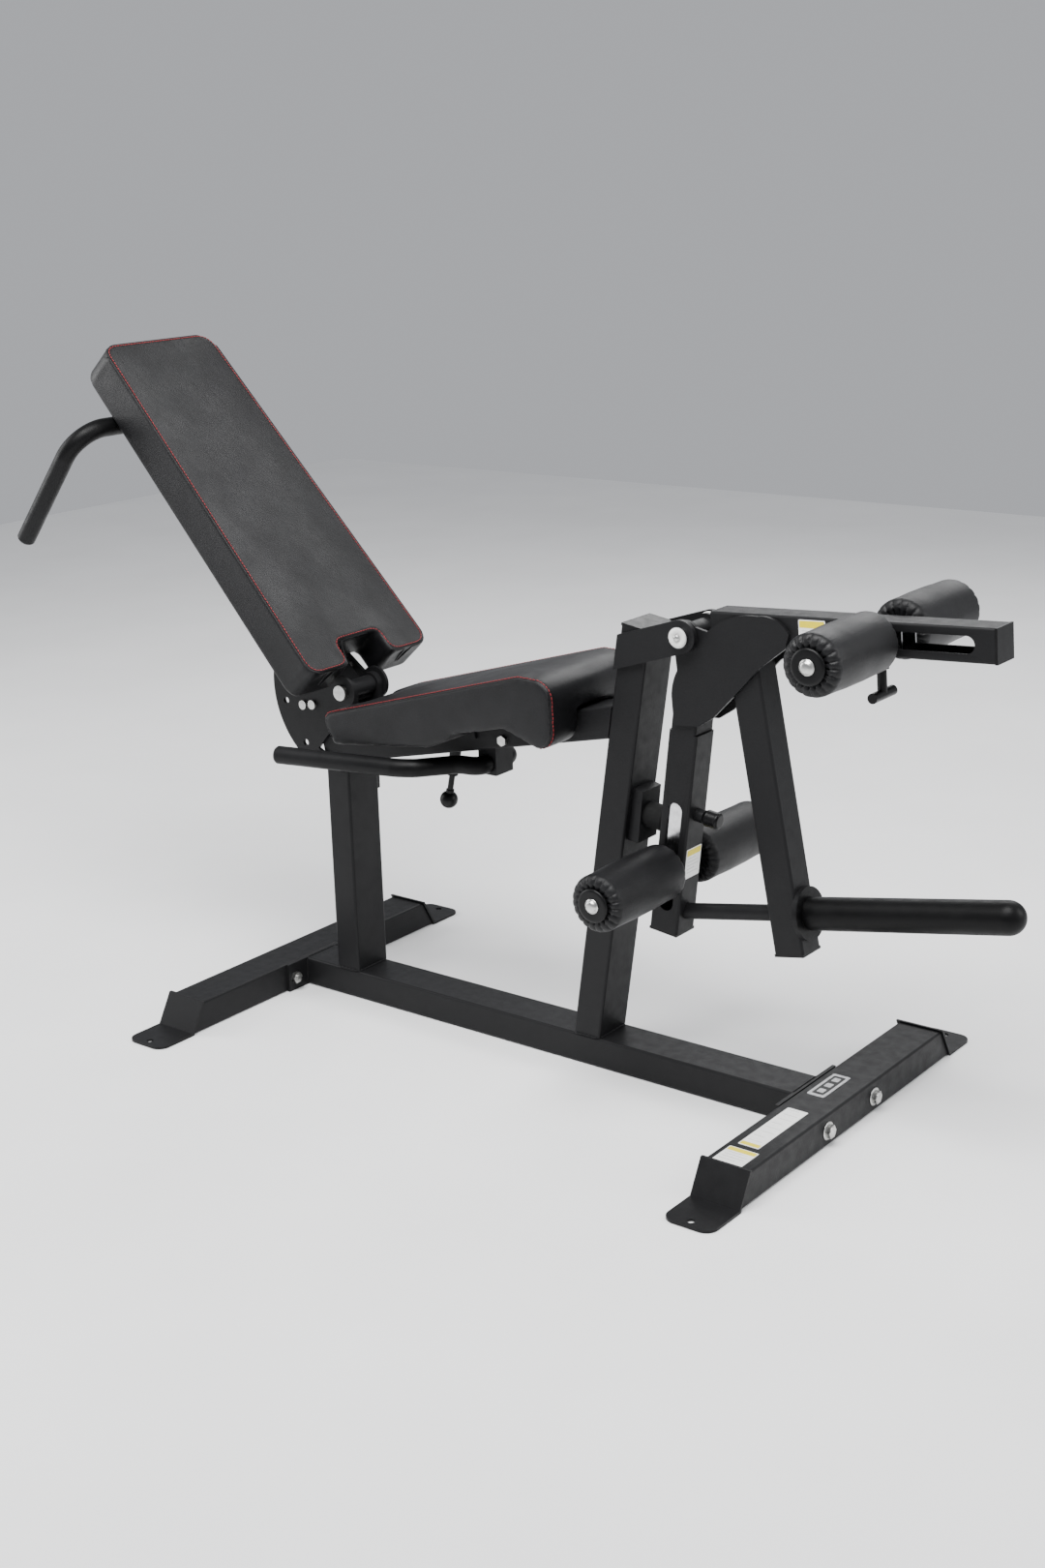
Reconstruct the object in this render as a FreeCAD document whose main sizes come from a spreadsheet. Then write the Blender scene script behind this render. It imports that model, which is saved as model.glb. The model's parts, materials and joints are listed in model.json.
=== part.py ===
import FreeCAD, Part
import math
import os
import Sketcher

# Plate-loaded leg extension and lying leg curl bench.
# Origin: on the floor at the centre of the four floor bolt holes.
# +X points to the leg lever, +Y to the far side, +Z up.  All sizes in millimetres.

V = FreeCAD.Vector
doc = FreeCAD.newDocument("LegCurlBench")
sheet = doc.addObject("Spreadsheet::Sheet", "Sizes")

SIZES = {
    # floor frame
    "foot_x": 540, "foot_wide": 75, "foot_high": 50, "foot_half": 302.15, "foot_slope": 29.7,
    "tube_wall": 3, "tube_corner": 4, "cap_thick": 4, "floor_hole_y": 378.5, "floor_hole_radius": 6,
    "plate_thick": 4, "tab_wide": 82, "tab_tip": 393.5, "tab_corner": 20,
    "beam_wide": 75, "beam_high": 50, "flange_thick": 6, "flange_wide": 170,
    "foot_bolt_y": 70, "foot_bolt_z": 24, "foot_bolt_radius": 6, "hex_radius": 10.5, "hex_thick": 8,
    # posts and seat beam
    "rear_post_x": -397, "front_post_x": 117.4, "post_lean": 8.9, "front_post_length": 688,
    "beam_slope": 12.5, "beam_ref_x": -73, "beam_ref_z": 498, "beam_back": 350, "beam_front": 259.4,
    # lever pivot
    "pivot_x": 309.1, "pivot_z": 729.3, "ear_thick": 8, "ear_radius": 25, "ear_tilt": 17.5, "ear_back": 122,
    "axle_radius": 10, "sleeve_radius": 16.5, "sleeve_long": 73, "pivot_cap_radius": 15.75,
    # lever
    "arm_wide": 50, "gusset_thick": 6, "leg_x": 259.6, "leg_z": 255.9, "leg_tilt": 7.0, "leg_length": 324,
    "stub_deep": 44, "stub_length": 128,
    "load_x": 483.1, "load_z": 264, "load_tilt": -10.4, "load_length": 438,
    "top_arm_x": 350, "top_arm_z": 743.3, "top_arm_tilt": 3.2, "top_arm_length": 445,
    "slot_wide": 25, "peg_radius": 25, "peg_up": 56.9, "peg_length": 324.4, "collar_radius": 40.5,
    "collar_thick": 8, "link_radius": 12.5, "link_length": 162.4,
    # rollers and their sliding carriages
    "slider_wide": 43.4, "slider_length": 186, "roller_axle_radius": 12.2, "roller_radius": 44,
    "roller_inner": 38, "low_roller_outer": 222, "top_roller_outer": 210, "disc_radius": 25, "disc_thick": 4,
    # pull pins
    "pin_radius": 5, "pin_bore": 5.05, "housing_radius": 10.5, "ball_radius": 15,
    # backrest
    "hinge_x": -371, "hinge_z": 554.7, "pad_x": -343.5, "pad_z": 615.7, "pad_angle": 47.5,
    "back_pad_thick": 78, "board_thick": 12, "back_tube_wide": 50, "back_tube_deep": 38,
    "back_tube_length": 645, "hinge_ear_thick": 12, "hinge_bolt_radius": 8, "sector_radius": 158,
    "hole_circle": 134.5, "sector_thick": 6, "sector_inner_y": 38, "cross_bar_radius": 12,
    "grip_radius": 16, "grip_bend": 60, "grip_y": 200, "grip_reach": 253, "grip_drop": 8.2,
    # seat
    "seat_half_wide": 122, "saddle_thick": 5, "saddle_gap": 0.4, "seat_grip_radius": 15, "seat_grip_z": 470,
}
for row, (alias, value) in enumerate(SIZES.items(), start=1):
    sheet.set("A%d" % row, alias)
    sheet.set("B%d" % row, str(value))
    sheet.setAlias("B%d" % row, alias)
doc.recompute()


def size(alias):
    return float(getattr(sheet, alias))


def placed(origin, x_axis, z_axis):
    """Placement whose local X and Z point along the given directions."""
    x_way = V(*x_axis)
    z_way = V(*z_axis)
    return FreeCAD.Placement(V(*origin), FreeCAD.Rotation(x_way, z_way.cross(x_way), z_way, "ZXY"))


def side_frame(x, z, tilt):
    """Frame in the side plane: local Z leans forward by tilt degrees, local X is its front side."""
    lean = math.radians(tilt)
    return placed((x, 0, z), (math.cos(lean), 0, -math.sin(lean)), (math.sin(lean), 0, math.cos(lean)))


def polar(radius, degrees):
    angle = math.radians(degrees)
    return radius * math.cos(angle), radius * math.sin(angle)


# ---- sketches and features ---------------------------------------------------------------------

def new_body(label, placement=FreeCAD.Placement()):
    body = doc.addObject("PartDesign::Body", label)
    body.Label = label
    body.Placement = placement
    return body


def new_sketch(body, plane="XY_Plane"):
    sketch = body.newObject("Sketcher::SketchObject", body.Name + "_sketch")
    support = [item for item in body.Origin.OriginFeatures if item.Role == plane][0]
    sketch.AttachmentSupport = [(support, "")]
    sketch.MapMode = "FlatFace"
    return sketch


def draw_outline(sketch, points):
    """Closed outline.  A point is (x, y), or (x, y, mid_x, mid_y) to reach it by an arc."""
    start = V(points[-1][0], points[-1][1], 0)
    for point in points:
        end = V(point[0], point[1], 0)
        if len(point) == 4:
            sketch.addGeometry(Part.Arc(start, V(point[2], point[3], 0), end), False)
        else:
            sketch.addGeometry(Part.LineSegment(start, end), False)
        start = end


def rounded(corners):
    """Outline points for a polygon of (x, y, corner radius)."""
    points = []
    count = len(corners)
    for index, (x, y, radius) in enumerate(corners):
        here = V(x, y, 0)
        before = (V(*corners[index - 1][:2], 0) - here).normalize()
        after = (V(*corners[(index + 1) % count][:2], 0) - here).normalize()
        if radius == 0:
            points.append((x, y))
            continue
        half = before.getAngle(after) / 2
        reach = radius / math.tan(half)
        first = here + before * reach
        last = here + after * reach
        middle = here + (before + after).normalize() * (radius / math.sin(half) - radius)
        points.append((first.x, first.y))
        points.append((last.x, last.y, middle.x, middle.y))
    return points


def draw_rectangle(sketch, wide, high):
    """Rectangle about the origin, its two sizes bound to expressions."""
    corners = [V(-1, -1, 0), V(1, -1, 0), V(1, 1, 0), V(-1, 1, 0)]
    first = sketch.GeometryCount
    for index in range(4):
        sketch.addGeometry(Part.LineSegment(corners[index], corners[(index + 1) % 4]), False)
    for index in range(4):
        sketch.addConstraint(Sketcher.Constraint("Coincident", first + index, 2, first + (index + 1) % 4, 1))
        way = "Horizontal" if index % 2 == 0 else "Vertical"
        sketch.addConstraint(Sketcher.Constraint(way, first + index))
    sketch.addConstraint(Sketcher.Constraint("Symmetric", first, 1, first + 2, 1, -1, 1))
    across = sketch.addConstraint(Sketcher.Constraint("DistanceX", first, 1, first, 2, 2.0))
    upward = sketch.addConstraint(Sketcher.Constraint("DistanceY", first + 1, 1, first + 1, 2, 2.0))
    sketch.setExpression("Constraints[%d]" % across, wide)
    sketch.setExpression("Constraints[%d]" % upward, high)


def draw_circle(sketch, radius, x=0.0, y=0.0):
    """Circle at a point, its radius bound to an expression."""
    circle = sketch.addGeometry(Part.Circle(V(x, y, 0), V(0, 0, 1), 5), False)
    bound = sketch.addConstraint(Sketcher.Constraint("Radius", circle, 5.0))
    sketch.setExpression("Constraints[%d]" % bound, radius)
    sketch.addConstraint(Sketcher.Constraint("DistanceX", -1, 1, circle, 3, x))
    sketch.addConstraint(Sketcher.Constraint("DistanceY", -1, 1, circle, 3, y))


def pad(body, sketch, length, midplane=False, reverse=False):
    feature = body.newObject("PartDesign::Pad", body.Name + "_pad")
    feature.Profile = sketch
    feature.Midplane = midplane
    feature.Reversed = reverse
    feature.setExpression("Length", length)
    return feature


def pocket(body, sketch, length=None):
    """Pocket to both sides of its sketch: through everything, or the given total length."""
    feature = body.newObject("PartDesign::Pocket", body.Name + "_pocket")
    feature.Profile = sketch
    feature.Midplane = True
    if length is None:
        feature.Type = 1
    else:
        feature.setExpression("Length", length)
    return feature


def revolve(body, points):
    """Revolve a half profile of (radius, height) points about the body's Z axis."""
    sketch = new_sketch(body, "XZ_Plane")
    draw_outline(sketch, points)
    feature = body.newObject("PartDesign::Revolution", body.Name + "_turn")
    feature.Profile = sketch
    feature.ReferenceAxis = (sketch, ["V_Axis"])
    feature.Angle = 360
    return feature


def pipe(body, radius, path, path_plane, ring_plane, wall=None):
    """Round tube along a path that starts at the origin, square to the ring's plane."""
    ring = new_sketch(body, ring_plane)
    draw_circle(ring, radius)
    if wall:
        draw_circle(ring, radius + " - " + wall)
    spine = new_sketch(body, path_plane)
    for edge in path:
        spine.addGeometry(edge, False)
    feature = body.newObject("PartDesign::AdditivePipe", body.Name + "_pipe")
    feature.Profile = ring
    feature.Spine = (spine, ["Edge%d" % (index + 1) for index in range(len(path))])
    return feature


def mirror(body, feature, plane="XZ_Plane"):
    copy = body.newObject("PartDesign::Mirrored", body.Name + "_mirror")
    copy.Originals = [feature]
    copy.MirrorPlane = ([item for item in body.Origin.OriginFeatures if item.Role == plane][0], [""])
    body.Tip = copy
    return copy


def bent_path(points, radii):
    """Straight runs through the points, joined by arcs of the given radii."""
    edges = []
    start = V(*points[0], 0)
    for index, radius in enumerate(radii, start=1):
        here = V(*points[index], 0)
        before = (V(*points[index - 1], 0) - here).normalize()
        after = (V(*points[index + 1], 0) - here).normalize()
        half = before.getAngle(after) / 2
        reach = radius / math.tan(half)
        middle = here + (before + after).normalize() * (radius / math.sin(half) - radius)
        edges.append(Part.LineSegment(start, here + before * reach))
        edges.append(Part.Arc(here + before * reach, middle, here + after * reach))
        start = here + after * reach
    edges.append(Part.LineSegment(start, V(*points[-1], 0)))
    return edges


def plate(label, points, thick, placement, holes=(), midplane=True):
    """Flat plate in the body's XZ plane, with round holes given as (x, z, radius expression)."""
    body = new_body(label, placement)
    sketch = new_sketch(body, "XZ_Plane")
    draw_outline(sketch, points)
    for x, z, radius in holes:
        draw_circle(sketch, radius, x, z)
    pad(body, sketch, thick, midplane)
    return body


def tube(label, deep, wide, length, placement, start_slope=0.0, end_slope=0.0):
    """Rectangular tube along local Z: deep along X, wide along Y, its ends sloped across X."""
    body = new_body(label, placement)
    half = size(deep) / 2
    core = half - size("tube_wall")
    low = math.tan(math.radians(start_slope))
    high = math.tan(math.radians(end_slope))
    outer = new_sketch(body, "XZ_Plane")
    draw_outline(outer, [(-half, -half * low), (half, half * low),
                         (half, length + half * high), (-half, length - half * high)])
    pad(body, outer, "Sizes." + wide, True)
    inner = new_sketch(body, "XZ_Plane")
    past = half
    draw_outline(inner, [(-core, -past - half), (core, -past - half),
                         (core, length + past + half), (-core, length + past + half)])
    pocket(body, inner, "Sizes.%s - 2 * Sizes.tube_wall" % wide)
    doc.recompute()
    solid = body.Tip
    corners = []
    for number, edge in enumerate(solid.Shape.Edges, start=1):
        outside = all(abs(abs(vertex.X) - half) < 0.01 and abs(abs(vertex.Y) - size(wide) / 2) < 0.01
                      for vertex in edge.Vertexes)
        first = edge.Vertexes[0]
        last = edge.Vertexes[-1]
        if outside and first.X * last.X > 0 and first.Y * last.Y > 0:
            corners.append("Edge%d" % number)
    rounding = body.newObject("PartDesign::Fillet", body.Name + "_corners")
    rounding.Base = (solid, corners)
    rounding.setExpression("Radius", "Sizes.tube_corner")
    return body


def slot_across(body, low, high, wide):
    """Round-ended slot through both side walls of a tube, between two heights of its axis."""
    half = wide / 2
    sketch = new_sketch(body, "XZ_Plane")
    draw_outline(sketch, [(half, high - half), (-half, high - half, 0, high),
                          (-half, low + half), (half, low + half, 0, low)])
    pocket(body, sketch)


def holes_across(body, plane, places, radius):
    """Round holes right through the body, square to one of its origin planes."""
    sketch = new_sketch(body, plane)
    for x, y in places:
        draw_circle(sketch, radius, x, y)
    pocket(body, sketch)


def round_bar(label, radius, length, placement, end_slope=0.0, bore=None):
    """Round bar along local Z whose far end is cut on a slope across X."""
    body = new_body(label, placement)
    sketch = new_sketch(body)
    draw_circle(sketch, radius)
    if bore:
        draw_circle(sketch, bore)
    span = 60
    rise = span * math.tan(math.radians(end_slope))
    pad(body, sketch, "%g mm" % (length + span))
    cutter = new_sketch(body, "XZ_Plane")
    draw_outline(cutter, [(-span, length - rise), (span, length + rise),
                          (span, length + 3 * span), (-span, length + 3 * span)])
    pocket(body, cutter)
    return body


def block(label, low, high, placement=FreeCAD.Placement()):
    """Box between two corners."""
    box = doc.addObject("Part::Box", label)
    box.Label = label
    box.Length = high[0] - low[0]
    box.Width = high[1] - low[1]
    box.Height = high[2] - low[2]
    box.Placement = placement.multiply(FreeCAD.Placement(V(*low), FreeCAD.Rotation()))
    return box


def turned(label, points, placement):
    body = new_body(label, placement)
    revolve(body, points)
    return body


def group(label, members):
    """Separate solids that share one node."""
    compound = doc.addObject("Part::Compound", label)
    compound.Label = label
    compound.Links = members
    return compound


def bolt(label, placement, radius, length, head_radius, head_thick, nut_at=None):
    """Hex bolt whose head sits below the local origin and whose shank runs up Z."""
    body = new_body(label, placement)
    head = new_sketch(body)
    corners = [polar(head_radius, 60 * index + 30) for index in range(6)]
    draw_outline(head, corners)
    pad(body, head, "%g mm" % head_thick, False, True)
    shank = new_sketch(body)
    draw_circle(shank, "%g mm" % radius)
    pad(body, shank, "%g mm" % length)
    if nut_at is None:
        return [body]
    nut = new_body(label + "_nut", placement)
    profile = new_sketch(nut)
    draw_outline(profile, corners)
    draw_circle(profile, "%g mm" % (radius + 0.05))
    pad(nut, profile, "%g mm" % head_thick)
    nut.Placement = placement.multiply(FreeCAD.Placement(V(0, 0, nut_at), FreeCAD.Rotation()))
    return [body, nut]


parts = []


def keep(*objects):
    parts.extend(objects)


ACROSS = placed((0, 0, 0), (1, 0, 0), (0, 1, 0))


def across_at(x, z, y=0.0):
    """Frame whose local Z runs along +Y at a point of the side plane."""
    return FreeCAD.Placement(V(x, y, z), ACROSS.Rotation)


# ---- floor frame -------------------------------------------------------------------------------

def make_foot(label, side):
    x = side * size("foot_x")
    half = size("foot_half")
    level = size("foot_high") / 2
    frame = placed((x, -half, level), (0, 0, 1), (0, 1, 0))
    foot = tube(label, "foot_high", "foot_wide", 2 * half, frame, size("foot_slope"), -size("foot_slope"))
    lift = size("foot_bolt_z") - level
    # holes along X for the two bolts that hold the beam's flange
    holes_across(foot, "XZ_Plane", [(lift, half - size("foot_bolt_y")), (lift, half + size("foot_bolt_y"))],
                 "Sizes.foot_bolt_radius + 0.05")
    return foot


def make_foot_plate(label, side, way):
    """Sloped end plate with the floor tab, on one end of a foot."""
    run = math.tan(math.radians(size("foot_slope")))
    thick = size("plate_thick")
    lip = size("foot_high") + 3
    inner = size("foot_half") + run * size("foot_high") / 2
    outer = inner + thick / math.cos(math.radians(size("foot_slope")))
    frame = placed((side * size("foot_x"), 0, 0), (0, way, 0), (0, 0, 1))
    tip = size("tab_tip")
    body = plate(label, [(inner, 0), (tip, 0), (tip, thick), (outer - run * thick, thick),
                         (outer - run * lip, lip), (inner - run * lip, lip)], "Sizes.tab_wide", frame)
    doc.recompute()
    solid = body.Tip
    tips = ["Edge%d" % (number + 1) for number, edge in enumerate(solid.Shape.Edges)
            if abs(edge.Length - thick) < 0.01 and min(vertex.X for vertex in edge.Vertexes) > tip - 0.1]
    corner = body.newObject("PartDesign::Fillet", body.Name + "_corner")
    corner.Base = (solid, tips)
    corner.setExpression("Radius", "Sizes.tab_corner")
    hole = new_sketch(body)
    draw_circle(hole, "Sizes.floor_hole_radius", size("floor_hole_y"), 0)
    pocket(body, hole)
    return body


for name, side in (("front", 1), ("rear", -1)):
    keep(make_foot(name + "_foot", side))
    for end, way in (("near", -1), ("far", 1)):
        keep(make_foot_plate("%s_foot_plate_%s" % (name, end), side, way))

BEAM_END = size("foot_x") - size("foot_wide") / 2 - size("flange_thick")
keep(tube("main_beam", "beam_high", "beam_wide", 2 * BEAM_END,
          placed((-BEAM_END, 0, size("beam_high") / 2), (0, 0, 1), (1, 0, 0))))

flanges = []
fasteners = []
for side in (-1, 1):
    face = side * (BEAM_END + size("flange_thick") / 2)
    flange_place = placed((face, 0, size("beam_high") / 2), (0, 1, 0), (1, 0, 0))
    flange = new_body("foot_flange_%d" % (side + 1), flange_place)
    profile = new_sketch(flange)
    draw_rectangle(profile, "Sizes.flange_wide", "Sizes.beam_high")
    for way in (-1, 1):
        draw_circle(profile, "Sizes.foot_bolt_radius + 0.05", way * size("foot_bolt_y"), -1)
    pad(flange, profile, "Sizes.flange_thick", True)
    flanges.append(flange)
    for way in (-1, 1):
        place = placed((side * (size("foot_x") + size("foot_wide") / 2), way * size("foot_bolt_y"),
                        size("foot_bolt_z")), (0, 0, 1), (-side, 0, 0))
        grip = size("foot_wide") + size("flange_thick")
        fasteners += bolt("foot_bolt_%d%d" % (side + 1, way + 1), place, size("foot_bolt_radius"),
                          grip + size("hex_thick") + 3, size("hex_radius"), size("hex_thick"), grip)
keep(group("foot_flanges", flanges))

# ---- posts and seat beam -----------------------------------------------------------------------

LEAN = math.radians(size("post_lean"))
SLOPE = math.radians(size("beam_slope"))
BEAM_WAY = V(math.cos(SLOPE), 0, math.sin(SLOPE))
BEAM_UP = V(-math.sin(SLOPE), 0, math.cos(SLOPE))
BEAM_REF = V(size("beam_ref_x"), 0, size("beam_ref_z"))


def beam_under(x):
    """Height of the seat beam's underside at x."""
    return size("beam_ref_z") + math.tan(SLOPE) * (x - size("beam_ref_x"))


def beam_over(x):
    return beam_under(x) + size("beam_high") / math.cos(SLOPE)


rear_top = beam_under(size("rear_post_x")) - size("foot_high")
rear_post = tube("rear_post", "beam_high", "beam_wide", rear_top,
                 side_frame(size("rear_post_x"), size("foot_high"), 0), 0, size("beam_slope"))
front_post = tube("front_post", "beam_high", "beam_wide", size("front_post_length"),
                  side_frame(size("front_post_x"), size("foot_high"), size("post_lean")), size("post_lean"), 0)
beam_start = BEAM_REF + BEAM_UP * (size("beam_high") / 2) - BEAM_WAY * size("beam_back")
beam_frame = placed(tuple(beam_start), tuple(BEAM_UP), tuple(BEAM_WAY))
seat_beam = tube("seat_beam", "beam_high", "beam_wide", size("beam_back") + size("beam_front"), beam_frame,
                 0, size("beam_slope") + size("post_lean"))
keep(rear_post, front_post, seat_beam)

post_top = front_post.Placement.multVec(V(0, 0, size("front_post_length") + size("cap_thick") / 2))
cap_sizes = (size("beam_high"), size("beam_wide"))


def end_cap(label, place, deep, wide):
    """Flat closing plate centred on its own origin, square to local Z."""
    body = new_body(label, place)
    profile = new_sketch(body)
    draw_rectangle(profile, "%g mm" % deep, "%g mm" % wide)
    pad(body, profile, "Sizes.cap_thick", True)
    return body


post_cap = end_cap("post_top_cap", FreeCAD.Placement(post_top, front_post.Placement.Rotation), *cap_sizes)
beam_back_end = beam_start - BEAM_WAY * (size("cap_thick") / 2)
beam_cap = end_cap("beam_back_cap", FreeCAD.Placement(beam_back_end, beam_frame.Rotation), *cap_sizes)
keep(group("frame_end_caps", [post_cap, beam_cap]))

side_bolt = bolt("seat_side_bolt", placed((-33, -size("beam_wide") / 2, 520), (1, 0, 0), (0, 1, 0)),
                 5, 3, 9, 6)
keep(group("frame_bolts", fasteners + side_bolt))
# hole in the beam's near wall for the side bolt
bolt_spot = beam_frame.inverse().multVec(V(-33, 0, 520))
side_hole = new_sketch(seat_beam, "XZ_Plane")
draw_circle(side_hole, "5.05 mm", bolt_spot.x, bolt_spot.z)
pocket(seat_beam, side_hole)

# ---- lever pivot on the front post -------------------------------------------------------------

ear_cut = math.tan(LEAN + math.radians(size("ear_tilt")))
ear_radius = size("ear_radius")
ear_back = size("ear_back")
ear_outline = [(-ear_back - ear_radius * ear_cut, -ear_radius), (0, -ear_radius),
               (0, ear_radius, ear_radius, 0), (-ear_back + ear_radius * ear_cut, ear_radius)]
for end, way in (("near", -1), ("far", 1)):
    middle = way * (size("beam_wide") + size("ear_thick")) / 2
    tilt = math.radians(size("ear_tilt"))
    frame = placed((size("pivot_x"), middle, size("pivot_z")),
                   (math.cos(tilt), 0, math.sin(tilt)), (-math.sin(tilt), 0, math.cos(tilt)))
    keep(plate("pivot_ear_" + end, ear_outline, "Sizes.ear_thick", frame,
               [(0, 0, "Sizes.axle_radius + 0.05")]))

ear_face = size("beam_wide") / 2 + size("ear_thick")
axle = size("axle_radius")
cap = size("pivot_cap_radius")
axle_profile = [(0, -ear_face - 9), (5, -ear_face - 9), (5, -ear_face - 6), (cap, -ear_face - 6),
                (cap, -ear_face), (axle, -ear_face), (axle, ear_face), (cap, ear_face), (cap, ear_face + 6),
                (5, ear_face + 6), (5, ear_face + 9), (0, ear_face + 9)]
keep(turned("pivot_axle", axle_profile, across_at(size("pivot_x"), size("pivot_z"))))

# ---- lever -------------------------------------------------------------------------------------

sleeve = new_body("pivot_sleeve", across_at(size("pivot_x"), size("pivot_z")))
sleeve_ring = new_sketch(sleeve)
draw_circle(sleeve_ring, "Sizes.sleeve_radius")
draw_circle(sleeve_ring, "Sizes.axle_radius + 0.05")
pad(sleeve, sleeve_ring, "Sizes.sleeve_long", True)
keep(sleeve)

lug = 22
lug_end = polar(lug, 38)
px = size("pivot_x")
pz = size("pivot_z")
gusset_outline = [(px - lug, pz), (px + lug_end[0], pz + lug_end[1], px, pz + lug), (346.6, 738.4),
                  (432, 770.3, 382, 761.5), (483.5, 749.3, 468, 764.5), (477, 727.6), (434.8, 694.2),
                  (391.4, 646.8), (355.5, 609.1), (331.6, 593.4), (287.6, 589.5), (283.8, 633.5),
                  (294.2, 674, 286.5, 655)]
for end, way in (("near", -1), ("far", 1)):
    middle = way * (size("arm_wide") + size("gusset_thick")) / 2
    keep(plate("gusset_" + end, gusset_outline, "Sizes.gusset_thick", FreeCAD.Placement(V(0, middle, 0),
               FreeCAD.Rotation()), [(px, pz, "Sizes.sleeve_radius + 0.1")]))

LEG = side_frame(size("leg_x"), size("leg_z"), size("leg_tilt"))
LOAD = side_frame(size("load_x"), size("load_z"), size("load_tilt"))
TOP = side_frame(size("top_arm_x"), size("top_arm_z"), 90 - size("top_arm_tilt"))
SLOT = size("slot_wide")


def along(frame, height, front=0.0, y=0.0):
    """World point at a height up a tube's axis, offset to its front side."""
    return frame.multVec(V(front, y, height))


leg_tube = tube("leg_tube", "arm_wide", "arm_wide", size("leg_length"), LEG)
slot_across(leg_tube, 34, 211, SLOT)
stub = tube("stub_tube", "stub_deep", "arm_wide", size("stub_length"),
            FreeCAD.Placement(along(LEG, size("leg_length")), LEG.Rotation))
weight_arm = tube("weight_arm", "arm_wide", "arm_wide", size("load_length"), LOAD)
top_arm = tube("top_arm", "arm_wide", "arm_wide", size("top_arm_length"), TOP)
slot_across(top_arm, 240, 416, SLOT)
keep(leg_tube, stub, weight_arm, top_arm)

lever_caps = []
for name, frame, height in (("leg", LEG, -size("cap_thick") / 2), ("load", LOAD, -size("cap_thick") / 2),
                            ("top", TOP, size("top_arm_length") + size("cap_thick") / 2)):
    spot = FreeCAD.Placement(along(frame, height), frame.Rotation)
    lever_caps.append(end_cap(name + "_cap", spot, size("arm_wide"), size("arm_wide")))
keep(group("lever_end_caps", lever_caps))

peg_base = along(LOAD, size("peg_up"), size("arm_wide") / 2)
load_up = LOAD.Rotation.multVec(V(0, 0, 1))
load_front = LOAD.Rotation.multVec(V(1, 0, 0))
peg = size("peg_radius")
reach = size("peg_length")
keep(turned("weight_peg", [(0, 0), (size("collar_radius"), 0), (size("collar_radius"), size("collar_thick")),
                           (peg, size("collar_thick")), (peg, reach),
                           (0, reach + peg, peg * math.sqrt(0.5), reach + peg * math.sqrt(0.5))],
            placed(tuple(peg_base), tuple(load_up * -1), tuple(load_front))))
link_base = along(LOAD, size("peg_up"), -size("arm_wide") / 2)
link_slope = size("leg_tilt") - size("load_tilt")
keep(round_bar("link_bar", "Sizes.link_radius", size("link_length"),
               placed(tuple(link_base), tuple(load_up), tuple(load_front * -1)), -link_slope))

# ---- sliding carriages and rollers -------------------------------------------------------------

PITCH = 25


def make_slider(label, frame, start, pin_height, axle_height, pin_side):
    """Square tube inside an arm, with pin holes in one wall and a cross hole for the roller axle."""
    slider = tube(label, "slider_wide", "slider_wide", size("slider_length"),
                  FreeCAD.Placement(along(frame, start), frame.Rotation))
    holes_across(slider, "XZ_Plane", [(0, axle_height - start)], "Sizes.roller_axle_radius + 0.05")
    doc.recompute()
    face_sketch = new_sketch(slider, "YZ_Plane")
    for step in (-2, -1, 0, 1, 2):
        height = pin_height - start + step * PITCH
        if 12 < height < size("slider_length") - 12:
            draw_circle(face_sketch, "Sizes.pin_bore", 0, height)
    cut = slider.newObject("PartDesign::Pocket", slider.Name + "_pin_holes")
    cut.Profile = face_sketch
    cut.Reversed = pin_side > 0
    cut.setExpression("Length", "Sizes.slider_wide")
    return slider


def make_roller_axle(label, frame, height, outer):
    """Axle with its end discs and cap bolts."""
    radius = size("roller_axle_radius")
    disc = size("disc_radius")
    start = outer + 0.5
    thick = size("disc_thick")
    half = [(radius, start), (disc, start), (disc, start + thick), (9, start + thick), (7, start + thick + 4)]
    lower = [(r, -y) for r, y in reversed(half)]
    points = [(0, -start - thick - 4)] + lower + half + [(0, start + thick + 4)]
    spot = along(frame, height)
    return turned(label, points, across_at(spot.x, spot.z))


def make_roller(label, frame, height, way, outer):
    """Foam roller with rounded ends, running on its axle."""
    inner = size("roller_inner")
    radius = size("roller_radius")
    bore = size("roller_axle_radius") + 0.08
    soft = 12
    mid = soft * (1 - math.sqrt(0.5))
    length = outer - inner
    points = [(bore, 0), (radius - soft, 0), (radius, soft, radius - mid, mid), (radius, length - soft),
              (radius - soft, length, radius - mid, length - mid), (bore, length)]
    spot = along(frame, height)
    start = inner if way > 0 else -outer
    return turned(label, points, across_at(spot.x, spot.z, start))


LEG_PIN = 193.5
TOP_PIN = 262.4
LEG_AXLE = 104.9
TOP_AXLE = 270.4
keep(make_slider("lower_slider", LEG, 80, LEG_PIN, LEG_AXLE, 1))
keep(make_slider("upper_slider", TOP, 120, TOP_PIN - 37.5, TOP_AXLE, 1))
keep(make_roller_axle("lower_axle", LEG, LEG_AXLE, size("low_roller_outer")))
keep(make_roller_axle("upper_axle", TOP, TOP_AXLE, size("top_roller_outer")))
for end, way in (("near", -1), ("far", 1)):
    keep(make_roller("lower_roller_" + end, LEG, LEG_AXLE, way, size("low_roller_outer")))
    keep(make_roller("upper_roller_" + end, TOP, TOP_AXLE, way, size("top_roller_outer")))

# ---- pull pins on the lever --------------------------------------------------------------------

WALL = size("arm_wide") / 2
pin = size("pin_radius")


def pin_frame(frame, height):
    """Frame on a tube's axis whose Z points out of its front side."""
    return placed(tuple(along(frame, height)), tuple(frame.Rotation.multVec(V(0, 0, -1))),
                  tuple(frame.Rotation.multVec(V(1, 0, 0))))


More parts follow.
